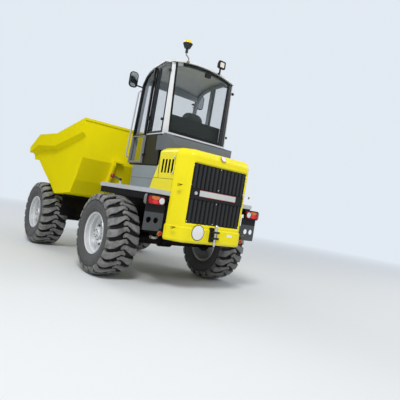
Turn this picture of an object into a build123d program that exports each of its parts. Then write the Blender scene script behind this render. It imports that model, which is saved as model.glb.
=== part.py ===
from build123d import *
import os
from math import atan2, cos, hypot, sin

os.makedirs("parts", exist_ok=True)

# Ten-tonne site dumper with a cab, in millimetres. +X is forward, to the skip, +Y is left, +Z is up.
# The origin is on the ground, under the middle of the machine's length and width.

# Running gear
TYRE_RADIUS = 585.0
TYRE_WIDTH = 480.0
TRACK_HALF = 1010.0
REAR_AXLE_X = -1250.0
FRONT_AXLE_X = 1445.0
AXLE_Z = 585.0
RIM_FLANGE_RADIUS = 303.0
RIM_SEAT_RADIUS = 286.0
RIM_HALF_WIDTH = 205.0
SPINDLE_RADIUS = 60.0
RUNNING_GAP = 0.05
SEAT_GAP = 0.1
AXLE_TUBE_RADIUS = 85.0

# Frames and their centre pivot
BEAM_IN = 300.0
BEAM_OUT = 340.0
BEAM_LOW = 705.0
BEAM_TOP = 930.0
PIVOT_X = 60.0
PIVOT_PIN_RADIUS = 45.0
PIVOT_TOP = 905.0
PIVOT_LOW = 480.0
LUG_THICK = 45.0

# Hood
HOOD_HALF = 655.0
HOOD_REAR_X = -2390.0
HOOD_CORNER_Y = 505.0
HOOD_SEAM_X = -2172.0
HOOD_FRONT_X = -1760.0
HOOD_TOP_Z = 1948.0
HOOD_ROUND = 110.0
HOOD_CORNER_ROUND = 120.0
BUMPER_OUT = 16.0
BUMPER_TOP_Z = 905.0
HOOD_BASE_Z = 690.0
HOOD_WALL = 25.0
GRILLE_HALF = 478.0
GRILLE_TOP_Z = 1765.0
GRILLE_BASE_Z = 957.0

# Platforms over the rear wheels
PLATFORM_Z = 1335.0
PLATFORM_EDGE = 60.0
PLATFORM_SKIRT_Z = 1180.0
PLATFORM_OUT = 898.0
PLATFORM_FRONT_X = -532.0
PLATFORM_REAR_X = -2215.0
STEP_BLOCK_IN = 470.0
STEP_BLOCK_OUT = 650.0

# Cab
CAB_REAR_HALF = 600.0
CAB_FRONT_HALF = CAB_REAR_HALF - 72.0
CAB_REAR_TOP_X = -1595.0
CAB_REAR_LOW_X = -1640.0
CAB_FRONT_TOP_X = -795.0
CAB_FRONT_LOW_X = -668.0
CAB_FLOOR_Z = 1690.0
CAB_SILL_Z = 2150.0
CAB_TOP_Z = 3214.0
CAB_POST = 50.0
B_POST_X = -1165.0
B_POST_DEPTH = 40.0
B_POST_BACK = 30.0
B_POST_LEAN = 20.0
ROOF_THICK = 26.0
ROOF_OVERHANG = 8.0
GLASS = 6.0
PANE_GAP = 0.4
CAB_BASE_Z = 1490.0
CAB_LEG_X = (-1550.0, -800.0)

# Tow hitch
TOW_PIN_RADIUS = 16.0
TOW_PIN_X = -2458.0
HITCH_HALF = 62.0
HITCH_LOW = 740.0
HITCH_TOP = 930.0
HITCH_END_X = -2490.0

# Skip
SKIP_REAR_X = -130.0
SKIP_REAR_HALF = 1165.0
SKIP_FRONT_HALF = 1210.0
SKIP_PLATE_HALF = 1100.0
SKIP_WALL = 12.0
SKIP_HINGE_X = 1700.0
SKIP_HINGE_Z = 1100.0
SKIP_HINGE_PIN = 30.0

# Tipping and steering cylinders, eye to eye at rest
TIP_BASE = (420.0, 620.0)
TIP_EYE = (1350.0, 1060.0)
TIP_Y = 145.0
TIP_BARREL_RADIUS = 38.0
TIP_BARREL_LENGTH = 700.0
TIP_ROD_RADIUS = 24.0
TIP_ROD_LENGTH = 800.0
TIP_PIN_RADIUS = 20.0
STEER_BASE = (-320.0, 270.0)
STEER_EYE = (300.0, 260.0)
STEER_Z = 620.0
STEER_BARREL_RADIUS = 34.0
STEER_BARREL_LENGTH = 380.0
STEER_ROD_RADIUS = 18.0
STEER_ROD_LENGTH = 352.0
STEER_PIN_RADIUS = 16.0


def save(piece, name):
    """Label a finished piece and write it under its node's name."""
    piece.part.label = name
    export_step(piece.part, f"parts/{name}.step")


def side_plane(y):
    """Plane whose local x is forward and local y is up, at a distance from the centreline."""
    return Plane(origin=(0, y, 0), x_dir=(1, 0, 0), z_dir=(0, -1, 0))


def cross_plane(x):
    """Plane whose local x is to the left and local y is up, at a place along the machine."""
    return Plane(origin=(x, 0, 0), x_dir=(0, 1, 0), z_dir=(1, 0, 0))


def box_between(low, high):
    """Private box from its lowest to its highest corner."""
    size = [high[i] - low[i] for i in range(3)]
    middle = [(high[i] + low[i]) / 2 for i in range(3)]
    return Pos(*middle) * Box(*size, mode=Mode.PRIVATE)


# Rear chassis: two plate beams, cross plates and a nose with the two pivot lugs
REAR_BEAM_BACK = -2330.0
NOSE_X = -390.0
with BuildPart() as rear_chassis:
    with BuildSketch(Plane.XY.offset(BEAM_LOW)):
        for side in (1, -1):
            with Locations(((REAR_BEAM_BACK + NOSE_X) / 2, side * (BEAM_IN + BEAM_OUT) / 2)):
                Rectangle(NOSE_X - REAR_BEAM_BACK, BEAM_OUT - BEAM_IN)
    extrude(amount=BEAM_TOP - BEAM_LOW)
    for x, low, high in (
        (REAR_BEAM_BACK, BEAM_LOW, BEAM_TOP),
        (REAR_AXLE_X - 170, BEAM_LOW, BEAM_LOW + 60),
        (REAR_AXLE_X + 170, BEAM_LOW, BEAM_LOW + 60),
        (NOSE_X, PIVOT_LOW - LUG_THICK, BEAM_TOP),
    ):
        with BuildSketch(Plane.XY.offset(low)):
            with Locations((x, 0)):
                Rectangle(40, 2 * BEAM_OUT)
        extrude(amount=high - low)
    for low in (PIVOT_LOW - LUG_THICK, PIVOT_TOP - LUG_THICK):
        with BuildSketch(Plane.XY.offset(low)):
            with BuildLine():
                Polyline((NOSE_X, -230), (PIVOT_X - 40, -105), (PIVOT_X - 40, 105), (NOSE_X, 230), close=True)
            make_face()
            with Locations((PIVOT_X, 0)):
                Circle(112)
            with Locations((PIVOT_X, 0)):
                Circle(PIVOT_PIN_RADIUS, mode=Mode.SUBTRACT)
        extrude(amount=LUG_THICK)
    for y in (-STEER_BASE[1], STEER_BASE[1]):
        for low in (STEER_Z - 40, STEER_Z + 25):
            add(box_between((NOSE_X, y - 32, low), (STEER_BASE[0], y + 32, low + 15)))
            with BuildSketch(Plane.XY.offset(low)):
                with Locations((STEER_BASE[0], y)):
                    Circle(32)
            extrude(amount=15)
        with BuildSketch(Plane.XY.offset(STEER_Z - 40)):
            with Locations((STEER_BASE[0], y)):
                Circle(STEER_PIN_RADIUS)
        extrude(amount=80)
    for x in CAB_LEG_X:
        for y in (-BEAM_OUT, BEAM_IN):
            leg_top = (x + 35, y + BEAM_OUT - BEAM_IN, CAB_BASE_Z - SEAT_GAP)
            add(box_between((x - 35, y, BEAM_TOP - 1), leg_top))
save(rear_chassis, "rear_chassis")

with BuildPart() as pivot_pin:
    with BuildSketch(Plane.XY.offset(PIVOT_LOW - LUG_THICK)):
        with Locations((PIVOT_X, 0)):
            Circle(PIVOT_PIN_RADIUS)
    extrude(amount=PIVOT_TOP - PIVOT_LOW + LUG_THICK)
    with BuildSketch(Plane.XY.offset(PIVOT_TOP)):
        with Locations((PIVOT_X, 0)):
            Circle(72)
    extrude(amount=22)
save(pivot_pin, "pivot_pin")

# Axles: a tube with the drive housing in its middle and a spindle at each end
SPINDLE_IN = TRACK_HALF - 165.0
SPINDLE_OUT = TRACK_HALF + 150.0
HOUSING_RADIUS = 125.0
for name, axle_x in (("rear_axle", REAR_AXLE_X), ("front_axle", FRONT_AXLE_X)):
    with BuildPart() as axle:
        for radius, half in (
            (AXLE_TUBE_RADIUS, SPINDLE_IN - 60),
            (HOUSING_RADIUS, SPINDLE_IN),
            (SPINDLE_RADIUS, SPINDLE_OUT),
        ):
            with BuildSketch(Plane(origin=(axle_x, -half, AXLE_Z), x_dir=(1, 0, 0), z_dir=(0, 1, 0))):
                Circle(radius)
                if radius == HOUSING_RADIUS:
                    Circle(AXLE_TUBE_RADIUS - 5, mode=Mode.SUBTRACT)
            extrude(amount=60 if radius == HOUSING_RADIUS else 2 * half)
        with BuildSketch(Plane(origin=(axle_x, SPINDLE_IN - 60, AXLE_Z), x_dir=(1, 0, 0), z_dir=(0, 1, 0))):
            Circle(HOUSING_RADIUS)
        extrude(amount=60)
        with BuildSketch(cross_plane(axle_x)):
            with BuildLine():
                Polyline((-190, AXLE_Z), (-100, AXLE_Z + 115), (100, AXLE_Z + 115), (190, AXLE_Z), close=True)
            make_face()
        revolve(axis=Axis((axle_x, 0, AXLE_Z), (0, 1, 0)))
        for side in (1, -1):
            with BuildSketch(Plane.XY.offset(AXLE_Z)):
                with Locations((axle_x, side * (BEAM_IN + BEAM_OUT) / 2)):
                    Rectangle(150, BEAM_OUT - BEAM_IN + 20)
            extrude(amount=BEAM_LOW - AXLE_Z)
    save(axle, name)

# Wheels: a wide flotation tyre on a deep dished rim that turns on the axle's spindle
WHEELS = (
    ("rear_left", REAR_AXLE_X, 1),
    ("rear_right", REAR_AXLE_X, -1),
    ("front_left", FRONT_AXLE_X, 1),
    ("front_right", FRONT_AXLE_X, -1),
)
TYRE_SIDE = (
    (190, RIM_SEAT_RADIUS),
    (205, 320),
    (232, 370),
    (TYRE_WIDTH / 2, 430),
    (236, 480),
    (222, 514),
    (190, 535),
    (100, 546),
)
TYRE_INSIDE = ((172, RIM_SEAT_RADIUS), (206, 430), (165, 515))
LUGS = 22
LUG_STEP = 360 / LUGS
LUG_FOOT = 470.0
LUG_END = 245.0
# One lug's outline seen from above the wheel: forward from its foot, and outward from the tyre's middle
LUG_OUTLINE = (
    (-62, LUG_END),
    (-44, 150),
    (44, 6),
    (28, -42),
    (58, -50),
    (98, -14),
    (98, 22),
    (60, 120),
    (46, LUG_END),
)
# Outward from the tyre's middle, and the radius: along the lugs' tops, then back under the carcass
LUG_PROFILE = (
    (-60, TYRE_RADIUS),
    (165, 581),
    (212, 562),
    (238, 515),
    (226, 488),
    (212, 506),
    (184, 526),
    (100, 538),
    (-60, 540),
)
with BuildPart() as lug:
    with BuildSketch(Plane.XY.offset(LUG_FOOT)):
        with BuildLine():
            Polyline(*LUG_OUTLINE, close=True)
        make_face()
    extrude(amount=TYRE_RADIUS + 30 - LUG_FOOT)
    with BuildSketch(Plane.YZ):
        with BuildLine():
            Polyline(*LUG_PROFILE, close=True)
        make_face()
    revolve(axis=Axis.Y, mode=Mode.INTERSECT)

with BuildPart() as tyre_form:
    with BuildSketch(Plane.YZ):
        with BuildLine():
            Polyline(
                *TYRE_SIDE,
                *((-v, radius) for v, radius in reversed(TYRE_SIDE)),
                *((-v, radius) for v, radius in TYRE_INSIDE),
                *reversed(TYRE_INSIDE),
                close=True,
            )
        make_face()
    revolve(axis=Axis.Y)
    other_lug = mirror(lug.part, about=Plane.XZ, mode=Mode.PRIVATE)
    add([Rot(0, i * LUG_STEP, 0) * lug.part for i in range(LUGS)])
    add([Rot(0, (i + 0.5) * LUG_STEP, 0) * other_lug for i in range(LUGS)])

for name, wheel_x, side in WHEELS:
    hub_plane = Plane(
        origin=(wheel_x, side * TRACK_HALF, AXLE_Z), x_dir=(0, side, 0), z_dir=(side, 0, 0)
    )
    wheel_axis = Axis((wheel_x, 0, AXLE_Z), (0, 1, 0))
    with BuildPart() as tyre:
        add(Pos(wheel_x, side * TRACK_HALF, AXLE_Z) * tyre_form.part)
    save(tyre, f"tyre_{name}")

    with BuildPart() as rim:
        with BuildSketch(hub_plane):
            with BuildLine():
                Polyline(
                    (RIM_HALF_WIDTH, RIM_FLANGE_RADIUS),
                    (215, 296),
                    (203, 276),
                    (155, 272),
                    (140, 258),
                    (78, 252),
                    (66, 236),
                    (60, 205),
                    (60, 140),
                    (72, 112),
                    (78, 92),
                    (150, 86),
                    (160, 74),
                    (160, SPINDLE_RADIUS + RUNNING_GAP),
                    (30, SPINDLE_RADIUS + RUNNING_GAP),
                    (30, 180),
                    (38, 240),
                    (30, 262),
                    (-203, 276),
                    (-215, 296),
                    (-RIM_HALF_WIDTH, RIM_FLANGE_RADIUS),
                    (-191, RIM_SEAT_RADIUS),
                    (191, RIM_SEAT_RADIUS),
                    close=True,
                )
            make_face()
        revolve(axis=wheel_axis)
    save(rim, f"rim_{name}")

# Engine: one plain block between the beams
with BuildPart() as engine_block:
    add(box_between((-2080, -BEAM_IN + SEAT_GAP, 780), (-1250, BEAM_IN - SEAT_GAP, 1480)))
save(engine_block, "engine_block")

# Hood cap: the moulded rear end, with rounded corners and shoulders and a bumper lip below
with BuildPart() as cap_cavity:
    with BuildSketch(Plane.XY.offset(HOOD_BASE_Z + HOOD_WALL)):
        with BuildLine():
            Polyline(
                (HOOD_SEAM_X + 160, HOOD_HALF - HOOD_WALL),
                (HOOD_SEAM_X - 15, HOOD_HALF - HOOD_WALL),
                (HOOD_REAR_X + HOOD_WALL, HOOD_CORNER_Y - 12),
                (HOOD_REAR_X + HOOD_WALL, -HOOD_CORNER_Y + 12),
                (HOOD_SEAM_X - 15, -HOOD_HALF + HOOD_WALL),
                (HOOD_SEAM_X + 160, -HOOD_HALF + HOOD_WALL),
                close=True,
            )
        make_face()
    extrude(amount=HOOD_TOP_Z - HOOD_BASE_Z - 2 * HOOD_WALL)
    chamfer(cap_cavity.faces().sort_by(Axis.Z)[-1].edges().sort_by(Axis.X)[:-1], length=HOOD_ROUND / 2)

BUMPER_ROUND = 40.0
with BuildPart() as bumper:
    with BuildSketch(Plane.XY.offset(HOOD_BASE_Z)):
        with BuildLine():
            Polyline(
                (HOOD_SEAM_X + 160, HOOD_HALF + BUMPER_OUT),
                (HOOD_SEAM_X - 18, HOOD_HALF + BUMPER_OUT),
                (HOOD_REAR_X - BUMPER_OUT, HOOD_CORNER_Y + 8),
                (HOOD_REAR_X - BUMPER_OUT, -HOOD_CORNER_Y - 8),
                (HOOD_SEAM_X - 18, -HOOD_HALF - BUMPER_OUT),
                (HOOD_SEAM_X + 160, -HOOD_HALF - BUMPER_OUT),
                close=True,
            )
        make_face()
        fillet(vertices().filter_by(lambda v: v.X < HOOD_SEAM_X), radius=HOOD_CORNER_ROUND)
    extrude(amount=BUMPER_TOP_Z - HOOD_BASE_Z)
    fillet(bumper.faces().sort_by(Axis.Z)[0].edges().sort_by(Axis.X)[:-1], radius=BUMPER_ROUND)
    chamfer(bumper.faces().sort_by(Axis.Z)[-1].edges().sort_by(Axis.X)[:-1], length=BUMPER_OUT - 1)

with BuildPart() as hood_cap:
    with BuildSketch(Plane.XY.offset(HOOD_BASE_Z + BUMPER_ROUND + 5)):
        with BuildLine():
            Polyline(
                (HOOD_SEAM_X + 160, HOOD_HALF),
                (HOOD_SEAM_X - 12, HOOD_HALF),
                (HOOD_REAR_X, HOOD_CORNER_Y),
                (HOOD_REAR_X, -HOOD_CORNER_Y),
                (HOOD_SEAM_X - 12, -HOOD_HALF),
                (HOOD_SEAM_X + 160, -HOOD_HALF),
                close=True,
            )
        make_face()
        fillet(vertices().filter_by(lambda v: v.X < HOOD_SEAM_X), radius=HOOD_CORNER_ROUND)
    extrude(amount=HOOD_TOP_Z - HOOD_BASE_Z - BUMPER_ROUND - 5)
    fillet(hood_cap.faces().sort_by(Axis.Z)[-1].edges().sort_by(Axis.X)[:-1], radius=HOOD_ROUND)
    add(bumper.part)
    add(cap_cavity.part, mode=Mode.SUBTRACT)
    add(
        box_between((HOOD_SEAM_X, -HOOD_HALF - 50, 0), (HOOD_SEAM_X + 200, HOOD_HALF + 50, 2 * HOOD_TOP_Z)),
        mode=Mode.SUBTRACT,
    )
    with BuildSketch(cross_plane(HOOD_REAR_X - 30)):
        with Locations((0, (GRILLE_TOP_Z + GRILLE_BASE_Z) / 2)):
            RectangleRounded(2 * GRILLE_HALF, GRILLE_TOP_Z - GRILLE_BASE_Z, 12)
    extrude(amount=HOOD_WALL + 40, mode=Mode.SUBTRACT)
    with BuildSketch(cross_plane(HOOD_REAR_X - 4)):
        with Locations((0, (GRILLE_TOP_Z + GRILLE_BASE_Z) / 2)):
            RectangleRounded(2 * GRILLE_HALF + 48, GRILLE_TOP_Z - GRILLE_BASE_Z + 48, 36)
    extrude(amount=24, taper=45, mode=Mode.SUBTRACT)
    with BuildSketch(cross_plane(HOOD_REAR_X - 30)):
        with Locations((0, (HITCH_LOW + HITCH_TOP) / 2)):
            Rectangle(2 * HITCH_HALF + 8, HITCH_TOP - HITCH_LOW + 8)
    extrude(amount=HOOD_WALL + 40, mode=Mode.SUBTRACT)
    with BuildSketch(Plane.XY.offset(HOOD_BASE_Z - 1)):
        with Locations(((HOOD_SEAM_X + REAR_BEAM_BACK) / 2 + 20, 0)):
            Rectangle(HOOD_SEAM_X - REAR_BEAM_BACK + 120, 2 * (BEAM_OUT + SEAT_GAP))
    extrude(amount=HOOD_WALL + 5, mode=Mode.SUBTRACT)
save(hood_cap, "hood_cap")

# Grille: a backing sheet with broad upright corrugations, in two panels either side of the centre band
BAND_LOW = 1288.0
BAND_HIGH = 1425.0
GRILLE_X = HOOD_REAR_X + 8
SLATS = 13
SLAT_PITCH = 72.0
SHEET_X = HOOD_REAR_X + HOOD_WALL + SEAT_GAP
with BuildPart() as grille:
    add(
        box_between(
            (SHEET_X, -GRILLE_HALF - 12, GRILLE_BASE_Z - 12),
            (SHEET_X + 6, GRILLE_HALF + 12, GRILLE_TOP_Z + 12),
        )
    )
    for low, high in ((GRILLE_BASE_Z + 8, BAND_LOW - 8), (BAND_HIGH + 8, GRILLE_TOP_Z - 8)):
        with BuildSketch(Plane.XY.offset(low)):
            for i in range(SLATS):
                y = (i - SLATS // 2) * SLAT_PITCH
                with BuildLine():
                    Polyline(
                        (SHEET_X + 1, y - 30),
                        (GRILLE_X + 1, y - 14),
                        (GRILLE_X + 1, y + 14),
                        (SHEET_X + 1, y + 30),
                        close=True,
                    )
                make_face()
        extrude(amount=high - low)
save(grille, "grille")

with BuildPart() as grille_band:
    add(
        box_between(
            (GRILLE_X - 4, -GRILLE_HALF + 5, BAND_LOW), (SHEET_X - SEAT_GAP, GRILLE_HALF - 5, BAND_HIGH)
        )
    )
    add(box_between((GRILLE_X - 10, -326, BAND_LOW + 40), (GRILLE_X - 3, 332, BAND_HIGH - 8)))
    with BuildSketch(cross_plane(GRILLE_X - 16)):
        with Locations((0.8 * GRILLE_HALF + 14, (BAND_LOW + BAND_HIGH) / 2 + 10)):
            Circle(22)
    extrude(amount=13)
save(grille_band, "grille_band")

# Hood body: the side and top skin from the cap to the cab, slanted in front to follow the step blocks
HOOD_NOSE_X = -1590.0
HOOD_SKIN = HOOD_HALF - 3
LOUVRES = (-2135.0, -2055.0, -1975.0, -1895.0)
with BuildPart() as hood_body:
    with BuildSketch(cross_plane(HOOD_SEAM_X + 6)):
        with BuildLine():
            Polyline(
                (-HOOD_SKIN, PLATFORM_Z + SEAT_GAP),
                (-HOOD_SKIN, HOOD_TOP_Z - 4),
                (HOOD_SKIN, HOOD_TOP_Z - 4),
                (HOOD_SKIN, PLATFORM_Z + SEAT_GAP),
                close=True,
            )
        make_face()
        fillet(vertices().filter_by(lambda v: v.Y > HOOD_TOP_Z - 20), radius=HOOD_ROUND - 3)
        offset(amount=-HOOD_WALL, mode=Mode.SUBTRACT)
        with Locations((0, PLATFORM_Z)):
            Rectangle(2 * (HOOD_SKIN - HOOD_WALL), 80, mode=Mode.SUBTRACT)
    extrude(amount=HOOD_NOSE_X - HOOD_SEAM_X - 6)
    with BuildSketch(side_plane(HOOD_HALF)):
        with BuildLine():
            Polyline(
                (HOOD_FRONT_X, HOOD_TOP_Z + 10),
                (HOOD_FRONT_X, 1690),
                (HOOD_FRONT_X + 20, 1672),
                (HOOD_NOSE_X - 18, PLATFORM_Z),
                (HOOD_NOSE_X + 10, PLATFORM_Z),
                (HOOD_NOSE_X + 10, HOOD_TOP_Z + 10),
                close=True,
            )
        make_face()
    extrude(amount=2 * HOOD_HALF, mode=Mode.SUBTRACT)
    for x in LOUVRES:
        for low_y in (HOOD_SKIN - HOOD_WALL - 5, -HOOD_SKIN - 5):
            slot = box_between((x, low_y, 1580), (x + 45, low_y + HOOD_WALL + 10, 1770))
            add(slot, mode=Mode.SUBTRACT)
    for low_y in (HOOD_SKIN - 6, -HOOD_SKIN - 4):
        groove = box_between((HOOD_SEAM_X - 10, low_y, 1497), (HOOD_NOSE_X + 10, low_y + 10, 1503))
        add(groove, mode=Mode.SUBTRACT)
save(hood_body, "hood_body")

# Platforms: a chequered deck with a bright edge over a deep dark skirt, and the inner wing below
with BuildPart() as platforms:
    for side in (1, -1):
        deck_in = HOOD_HALF - 45
        low_y = min(side * deck_in, side * PLATFORM_OUT)
        high_y = max(side * deck_in, side * PLATFORM_OUT)
        add(
            box_between(
                (PLATFORM_REAR_X + 45, low_y, PLATFORM_Z - PLATFORM_EDGE),
                (PLATFORM_FRONT_X, high_y, PLATFORM_Z),
            )
        )
        low_y = min(side * STEP_BLOCK_IN, side * deck_in)
        high_y = max(side * STEP_BLOCK_IN, side * deck_in)
        add(
            box_between(
                (HOOD_FRONT_X + 5, low_y, PLATFORM_Z - PLATFORM_EDGE),
                (PLATFORM_FRONT_X, high_y, PLATFORM_Z),
            )
        )
save(platforms, "platforms")

with BuildPart() as wings:
    for side in (1, -1):
        inner = side * (HOOD_HALF - 45)
        outer = side * (PLATFORM_OUT - 12)
        add(
            box_between(
                (PLATFORM_REAR_X + 60, min(inner, outer), PLATFORM_SKIRT_Z),
                (PLATFORM_FRONT_X - 12, max(inner, outer), PLATFORM_Z - PLATFORM_EDGE),
            )
        )
        wall = side * (HOOD_HALF - 25)
        add(
            box_between(
                (HOOD_SEAM_X + 8, min(inner, wall), BEAM_LOW + 20),
                (PLATFORM_FRONT_X - 12, max(inner, wall), PLATFORM_SKIRT_Z + 1),
            )
        )
save(wings, "wings")

with BuildPart() as wing_brackets:
    for x in (-2060, -1460, -1040, -640):
        add(box_between((x, BEAM_OUT, BEAM_LOW + 60), (x + 30, HOOD_HALF - 45, BEAM_TOP - 60)))
    mirror(about=Plane.XZ)
save(wing_brackets, "wing_brackets")

# Step blocks: two grey moulded tiers on each platform beside the cab's base
with BuildPart() as step_blocks:
    for side in (1, -1):
        plane = Plane(origin=(0, side * STEP_BLOCK_IN, 0), x_dir=(1, 0, 0), z_dir=(0, side, 0))
        with BuildSketch(plane):
            with BuildLine():
                up = -1 if side > 0 else 1
                Polyline(
                    (-1025, up * (PLATFORM_Z + SEAT_GAP)),
                    (-1025, up * 1668),
                    (-1730, up * 1668),
                    (-1600, up * (PLATFORM_Z + SEAT_GAP)),
                    close=True,
                )
            make_face()
        extrude(amount=STEP_BLOCK_OUT - STEP_BLOCK_IN)
    for low_y in (STEP_BLOCK_OUT - 6, -STEP_BLOCK_OUT - 4):
        add(box_between((-1800, low_y, 1477), (-1000, low_y + 10, 1484)), mode=Mode.SUBTRACT)
save(step_blocks, "step_blocks")

# Cab: two side frames with window and door openings, joined by cross bars, wider at the rear
CAB_TAPER = atan2(CAB_REAR_HALF - CAB_FRONT_HALF, CAB_FRONT_LOW_X - CAB_REAR_LOW_X)
CAB_HEIGHT = CAB_TOP_Z - CAB_FLOOR_Z
REAR_LEAN = (CAB_REAR_TOP_X - CAB_REAR_LOW_X) / CAB_HEIGHT
FRONT_LEAN = (CAB_FRONT_TOP_X - CAB_FRONT_LOW_X) / CAB_HEIGHT
CAB_SIDE = Plane(
    origin=(CAB_REAR_LOW_X, CAB_REAR_HALF, 0),
    x_dir=(cos(CAB_TAPER), -sin(CAB_TAPER), 0),
    z_dir=(-sin(CAB_TAPER), -cos(CAB_TAPER), 0),
)


def cab_side_y(x):
    """Outer half width of the cab at a place along it."""
    share = (x - CAB_REAR_LOW_X) / (CAB_FRONT_LOW_X - CAB_REAR_LOW_X)
    return CAB_REAR_HALF + share * (CAB_FRONT_HALF - CAB_REAR_HALF)


def on_side(x, z):
    """A place along the machine and its height, as a point of the cab's side plane."""
    return ((x - CAB_REAR_LOW_X) / cos(CAB_TAPER), z)


def set_back(depth):
    """How far back the end of a side frame lies, at a depth inside its outer face."""
    return depth * sin(CAB_TAPER)


def b_post_x(z):
    return B_POST_X - B_POST_LEAN * (z - CAB_FLOOR_Z) / CAB_HEIGHT


def rear_post_x(z):
    return CAB_REAR_LOW_X + REAR_LEAN * (z - CAB_FLOOR_Z)


def front_post_x(z):
    return CAB_FRONT_LOW_X + FRONT_LEAN * (z - CAB_FLOOR_Z)


# The roof's outer edge: place along the machine, height, and the crown's rise over it
ROOF_REAR_X = -1625.0
ROOF_RISE = 84.0
ROOF_STATIONS = (
    (ROOF_REAR_X, CAB_TOP_Z + ROOF_THICK, ROOF_RISE),
    (-1545.0, CAB_TOP_Z + ROOF_THICK, ROOF_RISE),
    (-1380.0, 3284.0, 70.0),
    (-1120.0, 3248.0, 78.0),
    (-960.0, 3200.0, 78.0),
    (-860.0, 3140.0, 74.0),
    (-785.0, 3040.0, 70.0),
)
ROOF_SEAT = 0.8
ROOF_BENDS = [x for x, z, rise in reversed(ROOF_STATIONS[1:])]


def under_roof(x):
    """Height of the roof's underside at its edge, on the straight runs between its stations."""
    for (x0, z0, rise0), (x1, z1, rise1) in zip(ROOF_STATIONS, ROOF_STATIONS[1:]):
        if x <= x1:
            return z0 + (z1 - z0) * (x - x0) / (x1 - x0) - ROOF_THICK
    return z1 - ROOF_THICK


def crown_under(y):
    """Height of the roof's underside over the rear frame, away from the centreline."""
    radius = (CAB_REAR_HALF**2 + ROOF_RISE**2) / (2 * ROOF_RISE)
    return CAB_TOP_Z + ROOF_RISE - radius + (radius**2 - y**2) ** 0.5


FRONT_TOP_Z = ROOF_STATIONS[-1][1] - ROOF_THICK
HEADER_LOW_Z = 2985.0
WINDOW_LOW_Z = CAB_SILL_Z + CAB_POST
PANEL_LOW_Z = CAB_FLOOR_Z + CAB_POST
REAR_POST_DEPTH = 40.0
REAR_POST_WIDTHS = ((CAB_FLOOR_Z, 118.0), (CAB_TOP_Z - 14, 58.0))
REAR_FACE = Plane(
    origin=(CAB_REAR_LOW_X, 0, CAB_FLOOR_Z), x_dir=(0, 1, 0), z_dir=(1, 0, -REAR_LEAN)
)


def up_rear(z):
    """Distance up the leaning rear plane for a height."""
    return (z - CAB_FLOOR_Z) * hypot(1, REAR_LEAN)


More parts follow.
